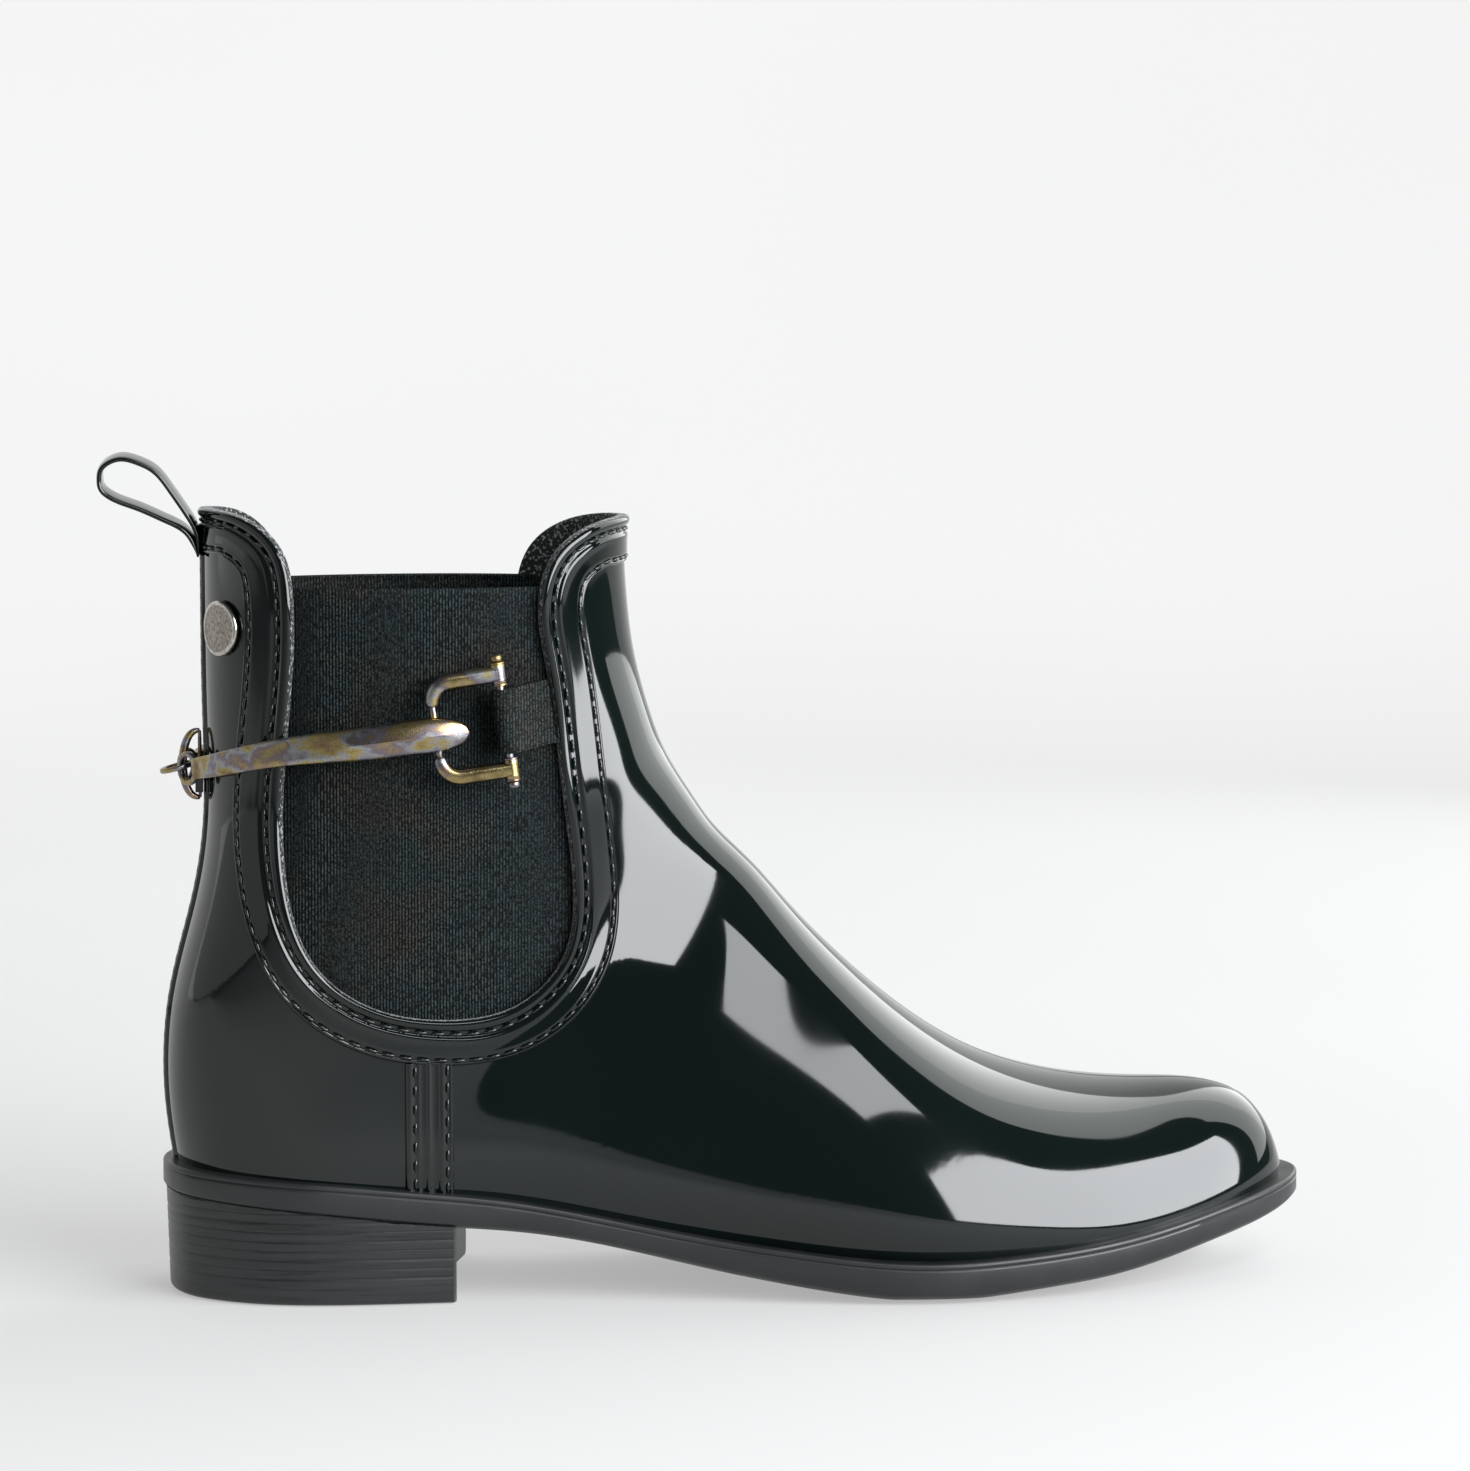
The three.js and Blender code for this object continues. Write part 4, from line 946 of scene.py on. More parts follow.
# Across the side seam: distance from its back edge, height over the wall
SEAM_PROFILE = np.array([
    (-0.30, -0.10), (-0.12, 0.12), (0.05, 0.42), (0.25, 0.68), (0.55, 0.82), (0.95, 0.84), (1.30, 0.76),
    (1.55, 0.58), (1.75, 0.38), (2.00, 0.28), (2.35, 0.27), (2.65, 0.30), (2.85, 0.42), (3.05, 0.44),
    (3.22, 0.34), (3.45, 0.24), (3.90, 0.22), (4.40, 0.24), (4.62, 0.36), (4.80, 0.58), (5.05, 0.74),
    (5.35, 0.74), (5.60, 0.60), (5.80, 0.38), (6.05, 0.26), (6.60, 0.22), (7.20, 0.24), (7.45, 0.38),
    (7.65, 0.62), (7.95, 0.80), (8.30, 0.84), (8.65, 0.76), (8.90, 0.56), (9.10, 0.36), (9.35, 0.28),
    (9.65, 0.27), (9.92, 0.32), (10.12, 0.44), (10.35, 0.45), (10.55, 0.28), (10.75, 0.05),
    (10.90, -0.10),
])
SEAM_HALF = 5.3
SEAM_STITCHES = (2.2, 9.5)
SEAM_STITCH_LIFT = 0.34
SEAM_THREAD = {"length": 3.0, "width": 0.7}


def seam_rows(offset_x, side):
    """Section and turn down a side seam, at distances in front of its middle."""
    x = SEAM_X + np.asarray(offset_x)
    top = np.full(len(x), cut_line[:, 1].min() - BORDER_WIDTH + 0.5)
    z = np.linspace(rim_height(x) - 0.6, top, 48)
    at, turn = side_place(x + 0 * z, z)
    return at, turn if side < 0 else 2 * math.pi - turn


def make_side_seams():
    for name, side in (("lateral", -1), ("medial", 1)):
        at, turn = seam_rows(SEAM_PROFILE[:, 0] - SEAM_HALF, side)
        add_strip(f"side_seam_{name}", at, turn, SEAM_PROFILE[None, :, 1])
        rows = []
        for place in SEAM_STITCHES:
            at, turn = seam_rows([place - SEAM_HALF], side)
            rows.append(stitch_row(at, turn, SEAM_STITCH_LIFT, **SEAM_THREAD))
        add_piece(f"side_seam_stitches_{name}", *joined(*rows), [stitch_pvc], "pvc")


# Across the back seam: distance from its middle, height over the wall
BACK_PROFILE = np.array([
    (-2.9, -0.10), (-2.6, 0.15), (-2.35, 0.45), (-2.0, 0.62), (-1.6, 0.60), (-1.25, 0.42),
    (-0.95, 0.36), (-0.65, 0.44), (-0.35, 0.62), (0.0, 0.70), (0.35, 0.62), (0.65, 0.44), (0.95, 0.36),
    (1.25, 0.42), (1.6, 0.60), (2.0, 0.62), (2.35, 0.45), (2.6, 0.15), (2.9, -0.10),
])
BACK_STITCHES = (-1.0, 1.0)
BACK_STITCH_LIFT = 0.42
BACK_THREAD = {"pitch": 3.0, "length": 2.3, "width": 0.6}


def reach_per_turn(at, turn):
    """Millimetres round the boot that a turn of one radian is worth."""
    step = 0.02
    chord = upper_point(at, turn + step + 0 * at) - upper_point(at, turn - step + 0 * at)
    return np.linalg.norm(chord, axis=-1) / (2 * step)


def back_line(across, bottom, top, count):
    """Section and turn up the back at a distance across from the middle."""
    heights = np.linspace(bottom, top, count)
    backs = np.array([back_seam_x(z) + RAISE for z in heights])
    at = side_place(backs - 1.0, heights)[0][:, None] + 0 * across
    return at, -across / reach_per_turn(at, 0.0)


def make_back_seam():
    top = collar_height - BORDER_WIDTH + 0.8
    bottom = rim_height(-HEEL_BACK) - 0.5
    at, turn = back_line(BACK_PROFILE[None, :, 0], bottom, top, 150)
    add_strip("back_seam", at, turn, BACK_PROFILE[None, :, 1])
    rows = []
    for across in BACK_STITCHES:
        at, turn = back_line(np.array([[across]]), bottom, top, 150)
        rows.append(stitch_row(at, turn, BACK_STITCH_LIFT, **BACK_THREAD))
    add_piece("back_seam_stitches", *joined(*rows), [stitch_pvc], "pvc")


def make_parting_line():
    """Fine flash line of the mould down the middle of instep and vamp."""
    end = lateral_rows[-1, 2] - 0.5
    at = np.linspace(8.0, end, 260)[:, None]
    across = PARTING_WIDTH * np.array([[-0.5, -0.25, 0.0, 0.25, 0.5]])
    height = np.array([[-0.05, 0.06, 0.13, 0.06, -0.05]])
    turn = math.pi + across / reach_per_turn(at, math.pi)
    add_strip("parting_line", at + 0 * turn, turn, height)


def make_gussets():
    """Elastic panels with modelled ribs, folded to a hem at their free edge."""
    top = collar_height - GUSSET_DROP
    low = cut_line[:, 1].min() - GUSSET_TURN - 1
    reach = cut_at(GUSSET_TURN)
    inside = reach[reach[:, 1] < top]
    x = np.arange(inside[:, 0].min() - 1, inside[:, 0].max() + 1, RIB_PITCH / 4)
    z = np.concatenate([np.linspace(low, top - HEM - 0.3, 62), np.linspace(top - HEM, top, 7)])
    u, v = np.meshgrid(x, z, indexing="ij")
    u, v, faces = snapped_grid(u, v, (1.0, 1.0), lambda a, b: -side_distance(a, b, reach))
    at, turn = side_place(u, v)
    fold = smooth_step(v, top - HEM - 0.15, top - HEM + 0.15)
    rib = RIB_HEIGHT * np.cos(2 * math.pi * u / RIB_PITCH) * (1 - 0.7 * fold)
    ends = smooth_step(np.abs(v - (top - HEM / 2)), HEM / 2 - 0.5, HEM / 2)
    hem = 0.22 * fold * (1 - ends)
    for name, side in (("gusset_lateral", -1), ("gusset_medial", 1)):
        angle = turn if side < 0 else 2 * math.pi - turn
        normals = upper_normal(at, angle)
        outer = upper_point(at, angle) + normals * (rib + hem - WALL - GAP - RIB_HEIGHT)[..., None]
        kept, (points, directions) = used_only(faces, outer, normals)
        piece = add_piece(f"{name}_elastic", points, kept, [elastic], "elastic", [name], facing=directions)
        shell = piece.modifiers.new("thickness", "SOLIDIFY")
        shell.thickness = (GUSSET_THICK - RIB_HEIGHT) * MM
        shell.offset = -1


# Sole and heel

def outline_ring(count, inset, height):
    turn = 2 * math.pi * np.arange(count) / count
    place = inset_point(turn, np.full(count, float(inset)))
    return np.column_stack([place, height(place[:, 0])])


# Camber under the sole's edge: place along its curve, share of TREAD_EDGE, share of TREAD_CAMBER
CAMBER_PLACES = (0, 0.38, 0.67, 1)
CAMBER_INSETS = (1.0, 0.36, 0.12, 0.0)
CAMBER_RISES = (0, 0.33, 0.62, 1.0)
# Side of the sole, from its step line up over the rim: inset, and depth under the rim
STEP_LINE = [(0.0, 2.1), (0.0, 1.75), (0.16, 1.6), (0.26, 1.45), (0.16, 1.3), (0.02, 1.15)]
RIM_EDGE = [
    (0.0, 0.85), (0.03, 0.6), (0.12, 0.38), (0.27, 0.19), (0.46, 0.07), (0.7, 0.0), (1.2, -0.03),
    (4.5, -0.03), (9.0, -0.03),
]


def make_outsole():
    """Outsole with its cambered underside, step line, rounded rim and ledge."""
    count = 480
    inset_share = spline(CAMBER_PLACES, CAMBER_INSETS)
    rings = []
    for inset in (26, 20, 14):
        rings.append(outline_ring(count, inset, tread_height))
    for t in np.linspace(0, 1, 9):
        rise = TREAD_CAMBER * np.interp(t, CAMBER_PLACES, CAMBER_RISES)
        inset = TREAD_EDGE * float(inset_share(t))
        rings.append(outline_ring(count, inset, lambda x: tread_height(x) + rise))
    for inset, under in STEP_LINE + RIM_EDGE:
        rings.append(outline_ring(count, inset, lambda x: rim_height(x) - under))
    faces = lofted_faces(len(rings), count)
    add_piece("outsole_moulded", np.concatenate(rings), faces, [rubber], "sole_rubber", ["outsole"], sharp=50)


def breast_at(y):
    """Front face of the heel: an oblique hollow curve across the boot."""
    half = BALL_WIDTH * float(lateral_half(np.arccos(0.5)) + medial_half(np.arccos(0.5))) / 2
    middle = (BREAST_LATERAL + BREAST_MEDIAL) / 2 - BREAST_HOLLOW
    line = smooth_line([
        (2 * BREAST_LATERAL - BREAST_MEDIAL, -2 * half), (BREAST_LATERAL, -half), (middle, 0),
        (BREAST_MEDIAL, half), (2 * BREAST_MEDIAL - BREAST_LATERAL, 2 * half),
    ], 200)
    return np.interp(y, line[:, 1], line[:, 0])


def heel_ring(inset, around=220, across=56):
    """Plan of the heel at an inset: round the back, then along the breast."""
    turn = np.linspace(-math.pi * 0.6, math.pi * 0.6, 3000)
    edge = inset_point(turn, np.full(len(turn), float(inset)))
    edge = edge[edge[:, 0] < breast_at(edge[:, 1]) - 0.5]
    travel = lengths_along(edge)
    arc = np.stack([np.interp(np.linspace(0, travel[-1], around), travel, edge[:, k]) for k in (0, 1)], 1)
    y = np.linspace(arc[-1, 1], arc[0, 1], across + 2)[1:-1]
    y = y + (0.5 * (1 if arc[-1, 1] < 0 else -1)) * np.linspace(1, -1, across)
    return np.concatenate([arc, np.column_stack([breast_at(y), y])])


def heel_level(inset, z):
    """The heel's plan at an inset, raised to z but kept under the outsole's cambered edge."""
    plan = heel_ring(inset)
    aside = inset + np.minimum(plan[:, 1].max() - plan[:, 1], plan[:, 1] - plan[:, 1].min())
    front = plan[:, 0] > breast_at(plan[:, 1]) - 0.6
    share = np.where(front, aside, inset) / TREAD_EDGE
    camber = TREAD_CAMBER * np.interp(share, CAMBER_INSETS[::-1], CAMBER_RISES[::-1])
    top = tread_height(np.maximum(plan[:, 0], -HEEL_BACK)) + camber - GAP
    return np.column_stack([plan, np.minimum(z, top)])


# Rounded foot of the heel: height, share of EDGE_ROUND. Groove: share of its half, share of its depth
HEEL_FOOT = [(0.0, 1), (0.1, 0.75), (0.4, 0.3), (0.8, 0.08), (1.3, 0), (3.6, 0)]
GROOVE = [(-1.2, 0), (-0.8, 0.12), (-0.3, 0.8), (0, 1), (0.3, 0.8), (0.8, 0.12), (1.2, 0)]
GROOVES = 9


def make_heel():
    """Stacked heel: deep grooves between lifts, shallow ones between leather layers."""
    full = BALL_EDGE + HEEL_RISE
    levels = [(z, share * EDGE_ROUND) for z, share in HEEL_FOOT]
    for i in range(GROOVES):
        z, depth = TOP_LIFT + LIFT_STEP * i / 2, 0.5 * LIFT_GROOVE if i % 2 == 0 else 0.25 * LIFT_GROOVE
        half = LIFT_GROOVE if i % 2 == 0 else 0.6 * LIFT_GROOVE
        for share, deep in GROOVE:
            levels.append((z + share * half, deep * depth))
    levels.append((full, 0.0))
    rings = []
    for z, extra in levels:
        rings.append(heel_level(HEEL_INSET + HEEL_TAPER * (1 - z / full) + extra, z))
    for share in (HEEL_INSET / TREAD_EDGE, *CAMBER_INSETS[2::-1]):
        rings.append(heel_level(share * TREAD_EDGE, full + TREAD_CAMBER))
    count = len(rings[0])
    points = np.concatenate(rings)
    faces = capped_faces(len(rings), count)
    piece = add_piece("heel_stacked", points, faces, [stacked], "sole_rubber", ["heel"])
    tidy_mesh(piece.data)
    piece.data.set_sharp_from_angle(angle=math.radians(48))


def tidy_mesh(mesh, reach=0.004):
    """Welds points that lie on each other, and drops what has no area."""
    work = bmesh.new()
    work.from_mesh(mesh)
    bmesh.ops.remove_doubles(work, verts=work.verts, dist=reach * MM)
    bmesh.ops.dissolve_degenerate(work, edges=work.edges, dist=reach * MM)
    bmesh.ops.recalc_face_normals(work, faces=work.faces)
    work.to_mesh(mesh)
    work.free()


# Pull loop and badge

# Middle of the strip in the side view, as shares of LOOP_REACH, behind the seam and over the collar
LOOP = [
    (0.012, -0.420), (0.050, -0.300), (0.120, -0.191), (0.319, -0.072), (0.604, 0.055), (0.864, 0.166),
    (0.935, 0.237), (0.950, 0.335), (0.935, 0.418), (0.860, 0.490), (0.745, 0.525), (0.574, 0.486),
    (0.438, 0.416), (0.281, 0.233), (0.106, -0.027), (0.022, -0.191), (0.006, -0.420),
]
LOOP_LEAN = (0.07, 1.0, 0.12)   # the strip leans, so its inner face shows from the side


def make_pull_loop():
    seam = back_seam_x(collar_height)
    side_view = smooth_line([(seam - b * LOOP_REACH, collar_height + a * LOOP_REACH) for b, a in LOOP], 220)
    path = np.column_stack([side_view[:, 0], 0 * side_view[:, 0], side_view[:, 1]])
    run = unit(np.gradient(path, axis=0))
    rise = np.column_stack([-run[:, 2], 0 * run[:, 0], run[:, 0]])
    strip = rounded_section(LOOP_THICK, LOOP_WIDTH, 0.35, 36)
    crown = 0.12 * (1 - (2 * strip[:, 1] / LOOP_WIDTH) ** 2)
    strip[:, 0] += np.where(strip[:, 0] > 0, crown, -crown) - np.sign(strip[:, 0]) * 0.12
    travel = lengths_along(path)
    taper = 0.25 + 0.75 * smooth_step(np.minimum(travel, travel[-1] - travel), 0, 4)
    thick = strip[None, :, :1] * taper[:, None, None] * rise[:, None]
    rows = path[:, None] + thick + strip[None, :, 1:] * unit(np.array(LOOP_LEAN))
    faces = capped_faces(len(path), len(strip))
    add_piece("pull_loop_strip", rows, faces, [pvc], "pvc", ["pull_loop"], sharp=60)


def badge_frame():
    z = collar_height - BADGE_DROP
    at, turn = side_place(back_seam_x(z) + BADGE_TURN, z)
    middle, normal = upper_point(at, turn), upper_normal(at, turn)
    level = unit(np.cross((0, 0, 1), normal))
    return at, turn, middle, level, np.cross(normal, level)


def surface_near(a, b, offset):
    """Surface points beside the badge's middle: a level, b upwards, at an offset."""
    at0, turn0, middle, level, rise = badge_frame()
    at, turn = np.full(a.shape, float(at0)), np.full(a.shape, float(turn0))
    for _ in range(6):
        step = 1e-3
        here = upper_point(at, turn) - middle
        by_at = (upper_point(at + step, turn) - middle - here) / step
        by_turn = (upper_point(at, turn + step) - middle - here) / step
        m = [[by_at @ level, by_turn @ level], [by_at @ rise, by_turn @ rise]]
        ra, rb = a - here @ level, b - here @ rise
        size = m[0][0] * m[1][1] - m[0][1] * m[1][0]
        at = at + (ra * m[1][1] - rb * m[0][1]) / size
        turn = turn + (rb * m[0][0] - ra * m[1][0]) / size
    return offset_point(at, turn, offset + 0 * a)


# Across the badge: share of its radius, height over the shaft. A blank sunk field in a round rim.
BADGE_PROFILE = [
    (0.96, 0.05), (1.00, 0.35), (1.01, 0.75), (0.985, 1.10), (0.955, 1.28), (0.92, 1.34), (0.885, 1.30),
    (0.86, 1.20), (0.84, 1.12), (0.80, 1.10), (0.65, 1.12), (0.45, 1.15), (0.25, 1.17), (0.08, 1.18),
]


BADGE_RIM = 7   # steps of the profile that make the burnished rim


def make_badge():
    around = 96
    angle = 2 * math.pi * np.arange(around)[None, :] / around
    share = np.array([p[0] for p in BADGE_PROFILE])[:, None]
    height = np.array([p[1] for p in BADGE_PROFILE])[:, None]
    radius = BADGE_DIAMETER / 2
    a, b = radius * share * np.cos(angle), radius * share * np.sin(angle)
    lift = GAP + (BADGE_THICK / 1.1) * height + 0 * angle
    points = surface_near(a, b, lift)
    faces = grid_faces(*a.shape, close_columns=True)
    last = (len(share) - 1) * around
    faces.append(list(range(last, last + around)))
    normal = np.cross(badge_frame()[3], badge_frame()[4])
    facing = np.tile(normal, (a.size, 1))
    facing[:3 * around] = 0
    finishes = [pewter, burnished]
    piece = add_piece("badge_blank", points, faces, finishes, "pewter", ["badge"], facing=facing, sharp=60)
    for face in piece.data.polygons:
        face.material_index = 1 if face.index < BADGE_RIM * around else 0


# Bit ornament

eye_middle = np.array([back_seam_x(BAR_LEVEL) - EYE_BEHIND + RAISE, -EYE_ASIDE, BAR_LEVEL])
# Bars: place on the shaft as a share of LENGTH, and share of BAR_CLIMB
BAR = [(0.055, 0.16), (0.085, 0.42), (0.122, 0.62), (0.167, 0.75), (0.212, 0.91), (0.254, 1.00)]


def bar_path():
    reach = (EYE_OUTER - EYE_BAND) / 2
    turn = math.radians(EYE_TURN)
    start = eye_middle + (reach * math.cos(turn), -reach * math.sin(turn), 0.02 * BAR_CLIMB)
    along = [lateral_point(along_length(s), BAR_LEVEL + c * BAR_CLIMB, BAR_STANDOFF) for s, c in BAR]
    return smooth_line([start, *along], 170)


def bar_section(t):
    """Flat-faced at the back, with a ridge and two facets in front of it."""
    height = BAR_BACK[0] + (BAR_FRONT[0] - BAR_BACK[0]) * t
    thick = BAR_BACK[1] + (BAR_FRONT[1] - BAR_BACK[1]) * t
    tip = math.sqrt(max(1 - max((t - 0.86) / 0.14, 0) ** 2, 0.0004))
    section = rounded_section(height * tip, thick * (0.45 + 0.55 * tip), 0.42, 40)
    across = np.abs(section[:, 0]) / (height * tip / 2)
    ridge = smooth_step(t + 0.07 * across, 0.60, 0.625) * (1 - smooth_step(t, 0.90, 1.0))
    facet = 0.36 * thick * (1 - across) - 0.10 * thick
    section[:, 1] += np.where(section[:, 1] > 0, ridge * facet, 0)
    return section


def ring_body(outer, width, thick, middle, turn_z=0.0, tilt_y=0.0, flat=False, count=72):
    """A closed ring round the y axis, or lying flat round the z axis."""
    angle = 2 * math.pi * np.arange(count) / count
    radius = outer / 2 - thick / 2
    circle = np.stack([radius * np.cos(angle), 0 * angle, radius * np.sin(angle)], 1)
    section = rounded_section(thick, width, 0.7, 16)
    out = unit(circle)
    rows = circle[:, None] + section[None, :, :1] * out[:, None] + section[None, :, 1:] * np.array((0, 1, 0))
    x, y, z = rows.reshape(-1, 3)[:, [0, 2, 1] if flat else [0, 1, 2]].T
    c, s = math.cos(math.radians(tilt_y)), math.sin(math.radians(tilt_y))
    x, z = x * c - z * s, x * s + z * c
    c, s = math.cos(math.radians(turn_z)), math.sin(math.radians(turn_z))
    points = np.column_stack([x * c + y * s, y * c - x * s, z])
    return wound((points + middle, grid_faces(count, 16, True, True)))


def round_rod(start, end, diameter, bulge=0.0, count=14, steps=9):
    """A short round rod with softened ends."""
    path = np.linspace(start, end, steps)

    def section(t):
        edge = min(t, 1 - t) * (steps - 1)
        size = diameter * (1 - 0.22 * max(0.0, 1 - edge)) * (1 + bulge * math.sin(math.pi * t))
        return rounded_section(size, size, 1.0, count)

    return wound(sweep(path, section, up=(1, 0.2, 0)))


d_plane = float(lateral_point(D_X - D_DEPTH, BAR_LEVEL + BAR_CLIMB, BAR_STANDOFF)[1])
d_middle = np.array([D_X, d_plane, BAR_LEVEL + 1.21 * BAR_CLIMB])


def d_point(forward, up, to_boot=0.0):
    c, s = math.cos(math.radians(D_TILT)), math.sin(math.radians(D_TILT))
    return d_middle + (forward * c - up * s, to_boot, forward * s + up * c)


def d_ring_body():
    bodies = []
    for sign in (1, -1):
        bow = []
        for i in range(13):
            angle = math.radians(90 * i / 12)
            forward = D_CORNER - D_DEPTH - D_CORNER * math.sin(angle)
            bow.append(d_point(forward, sign * (D_HALF - D_CORNER + D_CORNER * math.cos(angle))))
        start = [d_point(-0.2 - 0.1 * k * D_DEPTH, sign * D_HALF) for k in range(6)]
        end = d_point(-D_DEPTH, sign * (D_HALF - D_CORNER + BAR_FRONT[0] / 2 + 2 * GAP) / 2)
        path = smooth_line(start + bow + [end], 90)

        def section(t):
            size = D_WIRE * (1 - 0.35 * t ** 6) * (1 - 0.30 * smooth_step(t, 0.97, 1.0))
            return rounded_section(size, size, 0.86, 18)

        bodies.append(wound(sweep(path, section, up=(0.02, 1, 0.01))))
        near, far = sign * (D_HALF - BARREL[1] / 2), sign * (D_HALF + BARREL[1] / 2)
        bodies.append(round_rod(d_point(0, near), d_point(0, far), BARREL[0], count=28))
        for level in (near, far):
            inward = math.copysign(0.5, -level + (near + far) / 2)
            collar = d_point(0, level), d_point(0, level + inward)
            bodies.append(round_rod(*collar, BARREL[0] + 0.25, count=28, steps=5))
        bodies.append(round_rod(d_point(0, far), d_point(0, far + sign * KNOB[1]), KNOB[0], 0.18, 20))
        band = d_point(-1.9, sign * D_HALF), d_point(-2.7, sign * D_HALF)
        bodies.append(round_rod(*band, D_WIRE + 0.1, count=24, steps=5))
    bodies.append(round_rod(d_point(0, -D_HALF), d_point(0, D_HALF), STRAP_PIN))
    half_pin = D_HALF - D_CORNER
    bodies.append(round_rod(d_point(-D_DEPTH, -half_pin), d_point(-D_DEPTH, half_pin), D_PIN))
    return joined(*bodies)


def strap_body():
    """Two layers of elastic folded round the strap pin, sewn together at the border."""
    level = float(d_middle[2])
    beside = cut_line[cut_line[:, 0] > D_X]
    near = beside[np.argmin(np.abs(beside[:, 1] - level))]
    reach = (near[0] - D_X) / math.cos(math.radians(D_TILT)) - 3 * GAP
    panel = float(lateral_point(near[0], level, -WALL)[1])
    flat = panel - GAP - STRAP_THICK - d_plane
    inner, outer = STRAP_PIN / 2 + GAP, STRAP_PIN / 2 + GAP + STRAP_THICK
    turn = np.linspace(math.pi / 2, 3 * math.pi / 2, 26)
    lead = np.linspace(reach, 0.6, 22)
    ease = smooth_step(lead, 0.0, reach)
    out_run = [(f, -outer + (flat - STRAP_THICK + outer) * e) for f, e in zip(lead, ease)]
    in_run = [(f, outer + (flat + STRAP_THICK - outer) * e) for f, e in zip(lead, ease)][::-1]
    fold = [(outer * math.cos(a), -outer * math.sin(a)) for a in turn]
    back = [(inner * math.cos(a), -inner * math.sin(a)) for a in turn[::-1]]
    core_in = [(f, inner + (flat + 0.05 - inner) * e) for f, e in zip(lead, ease)][::-1]
    core_out = [(f, -inner + (flat - 0.05 + inner) * e) for f, e in zip(lead, ease)]
    section = out_run + fold + in_run + core_in[::-1] + back + core_out[::-1]
    ribs = int(STRAP_WIDTH / 0.18)
    ups = np.linspace(-STRAP_WIDTH / 2, STRAP_WIDTH / 2, ribs)
    shape = np.array(section)
    centre = np.array([(f, flat * smooth_step(f, 0.0, reach)) for f, _ in section])
    rows = []
    for up in ups:
        edge = smooth_step(abs(up), STRAP_WIDTH / 2 - 0.45, STRAP_WIDTH / 2)
        swell = 1 - 0.12 * edge + 0.035 * math.cos(2 * math.pi * up / RIB_PITCH)
        rows.append([d_point(*p) for p in np.insert(centre + (shape - centre) * swell, 1, up, axis=1)])
    points = np.array(rows)
    return wound((points.reshape(-1, 3), capped_faces(len(ups), points.shape[1])))


def make_hardware():
    bar = wound(sweep(bar_path(), bar_section))
    eye = ring_body(EYE_OUTER, EYE_BAND, EYE_BAND, eye_middle, turn_z=EYE_TURN)
    cannon = joined(bar, eye)
    d_ring, strap = d_ring_body(), strap_body()
    for name, body, material, slot, sharp in (
        ("cannon", cannon, gilt, "gilt", 38),
        ("d_ring", d_ring, gilt, "gilt", 50),
        ("strap", strap, elastic, "elastic", 60),
    ):
        for side, points_faces in (("lateral", body), ("medial", mirrored(body))):
            node = f"{name}_{side}"
            add_piece(f"{node}_fine", *points_faces, [material], slot, [node], sharp=sharp, is_wound=True)
    link_middle = (eye_middle[0] - LINK_BEHIND, 0, BAR_LEVEL)
    link = ring_body(LINK_OUTER, LINK_WIRE, LINK_WIRE, link_middle, tilt_y=LINK_TILT, flat=True)
    for node, body in (("link_ring", link), ("keeper_ring", keeper_body())):
        add_piece(f"{node}_fine", *body, [gilt], "gilt", [node], sharp=60, is_wound=True)


def keeper_body():
    x = back_seam_x(BAR_LEVEL) - GAP - KEEPER_PIN / 2 - KEEPER_PLAY
    z, half = BAR_LEVEL + 0.6, KEEPER_HEIGHT / 2
    angle = math.pi * np.linspace(0, 1, 60)
    path = np.stack([x - KEEPER_DEPTH * np.sin(angle) ** 0.8, 0 * angle, z + half * np.cos(angle)], 1)

    def section(t):
        wire = KEEPER_PIN + (KEEPER_WIRE - KEEPER_PIN) * math.sqrt(math.sin(math.pi * min(max(t, 0.0), 1.0)))
        return rounded_section(wire, wire, 0.9, 16)

    arc = wound(sweep(path, section, up=(0, 1, 0)))
    return joined(arc, round_rod((x, 0, z - half), (x, 0, z + half), KEEPER_PIN, count=16))


# Stage

STAGE_REACH = 4.0     # metres from the boot to the floor's edges, and the backdrop's height
SWEEP_START = 1.2     # metres behind the boot where the floor begins to curve up
SWEEP_RADIUS = 1.2
FLOOR_DROP = 0.0002   # the floor lies this far under the sole


def make_stage():
    """A pale floor that curves up into the backdrop behind the boot."""
    material, tree, place = new_material("pale_paper_backdrop")
    depth = add_node(tree, "ShaderNodeSeparateXYZ", {"Vector": place}).outputs["Y"]
    tint = ramp(tree, noise(tree, place, 400, 1.0), (0.4, "#989797"), (0.6, "#9a9999"))
    near, far = spread(tree, depth, -0.45, -0.22, 0.0, 0.445), spread(tree, depth, 0.0, 1.6, 0.0, 0.300)
    glow = combine(tree, "ADD", near, far)
    finish_material(tree, {
        "Base Color": tint, "Roughness": 0.95, "Emission Color": linear("#f2f2f2"),
        "Emission Strength": glow,
    })
    turn = np.linspace(0.06, math.pi / 2, 24)
    flat = np.linspace(-STAGE_REACH, SWEEP_START, 27)
    depth = np.concatenate([flat, SWEEP_START + SWEEP_RADIUS * np.sin(turn), [SWEEP_START + SWEEP_RADIUS]])
    height = np.concatenate([0 * flat, SWEEP_RADIUS - SWEEP_RADIUS * np.cos(turn), [STAGE_REACH]])
    across = np.linspace(-STAGE_REACH, STAGE_REACH, 9)
    points = [(x, y, z - FLOOR_DROP) for y, z in zip(depth, height) for x in across]
    mesh = bpy.data.meshes.new("backdrop")
    mesh.from_pydata(points, [], grid_faces(len(depth), len(across)))
    mesh.shade_smooth()
    mesh.materials.append(material)
    floor = bpy.data.objects.new("backdrop", mesh)
    bpy.context.scene.collection.objects.link(floor)


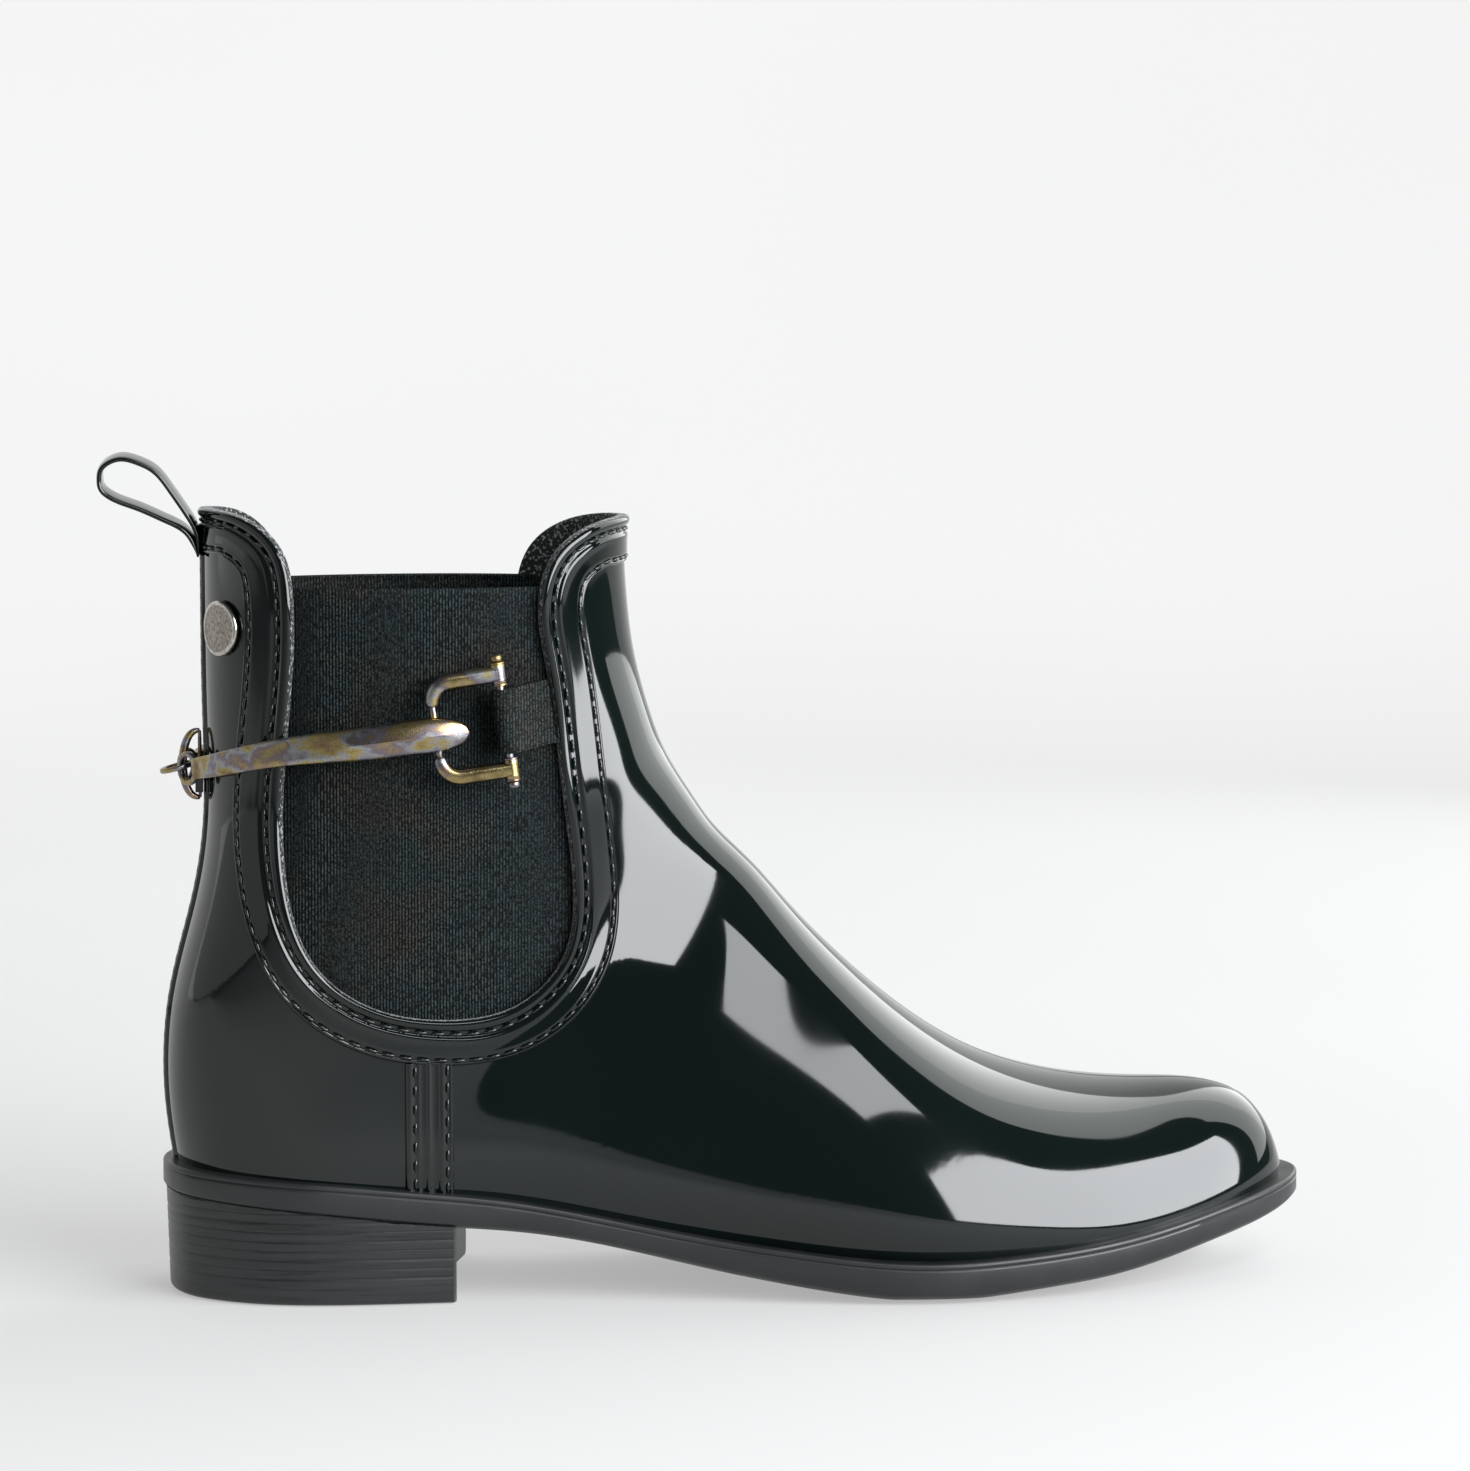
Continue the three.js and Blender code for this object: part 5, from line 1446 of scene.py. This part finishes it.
def add_softbox(name, centre, size, turn, radiance, colour):
    """An evenly lit rectangular softbox: centre and size in metres, turn in degrees from facing down."""
    lamp = bpy.data.lights.new(name, "AREA")
    lamp.shape = "RECTANGLE"
    lamp.size, lamp.size_y = size
    lamp.energy = radiance * math.pi * size[0] * size[1]
    lamp.color = colour
    light = bpy.data.objects.new(name, lamp)
    light.location = centre
    light.rotation_euler = [math.radians(angle) for angle in turn]
    bpy.context.scene.collection.objects.link(light)


def make_lights():
    """A dim room with a window-like bank on the right, an overhead strip, and side and rear fills."""
    world = bpy.data.worlds.new("studio_room")
    bpy.context.scene.world = world
    world.use_nodes = True
    tree = world.node_tree
    tree.nodes.clear()
    room = add_node(tree, "ShaderNodeBackground", {"Color": linear("#dfeae7"), "Strength": 0.15})
    add_node(tree, "ShaderNodeOutputWorld", {"Surface": room.outputs["Background"]})
    cool, plain = (0.955, 0.975, 1.0), (0.96, 1.0, 0.99)
    add_softbox("bank_right", (1.665, -2.07, 0.93), (1.65, 3.30), (0, 90, -13), 12.0, cool)
    add_softbox("strip_overhead", (0.277, -0.6245, 0.595), (0.51, 0.20), (0, 0, 232), 8.0, cool)
    add_softbox("fill_rear_right", (1.28, 0.515, 1.275), (1.57, 2.15), (90, 0, 142), 2.6, plain)
    add_softbox("fill_left", (-1.80, -0.40, 0.75), (1.4, 3.0), (0, -90, 0), 0.5, plain)


def make_camera():
    """The photo's view: low, a little to the left of square, over the boot's outer side."""
    lens = bpy.data.cameras.new("photo_view")
    lens.lens = 115.0
    lens.sensor_width = 36.0
    lens.clip_start = 0.05
    lens.dof.use_dof = False
    camera = bpy.data.objects.new("photo_view", lens)
    camera.location = (-0.0521, -1.0790, 0.226)
    camera.rotation_euler = (math.radians(90 - 5.25), 0, math.radians(-8))
    bpy.context.scene.collection.objects.link(camera)
    bpy.context.scene.camera = camera
    bpy.context.scene.view_settings.view_transform = "Standard"


def dress_cad_nodes():
    """The insole and the small tab keep their solids and get the finish of their own material."""
    for name, material in (("insole", knit), ("keeper_tab", pvc)):
        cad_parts[name].data.materials.clear()
        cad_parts[name].data.materials.append(material)


make_camera()
make_stage()
make_lights()
make_upper()
make_lining()
make_border()
make_border_stitches()
make_side_seams()
make_back_seam()
make_parting_line()
make_gussets()
make_outsole()
make_heel()
make_pull_loop()
make_badge()
make_hardware()
dress_cad_nodes()
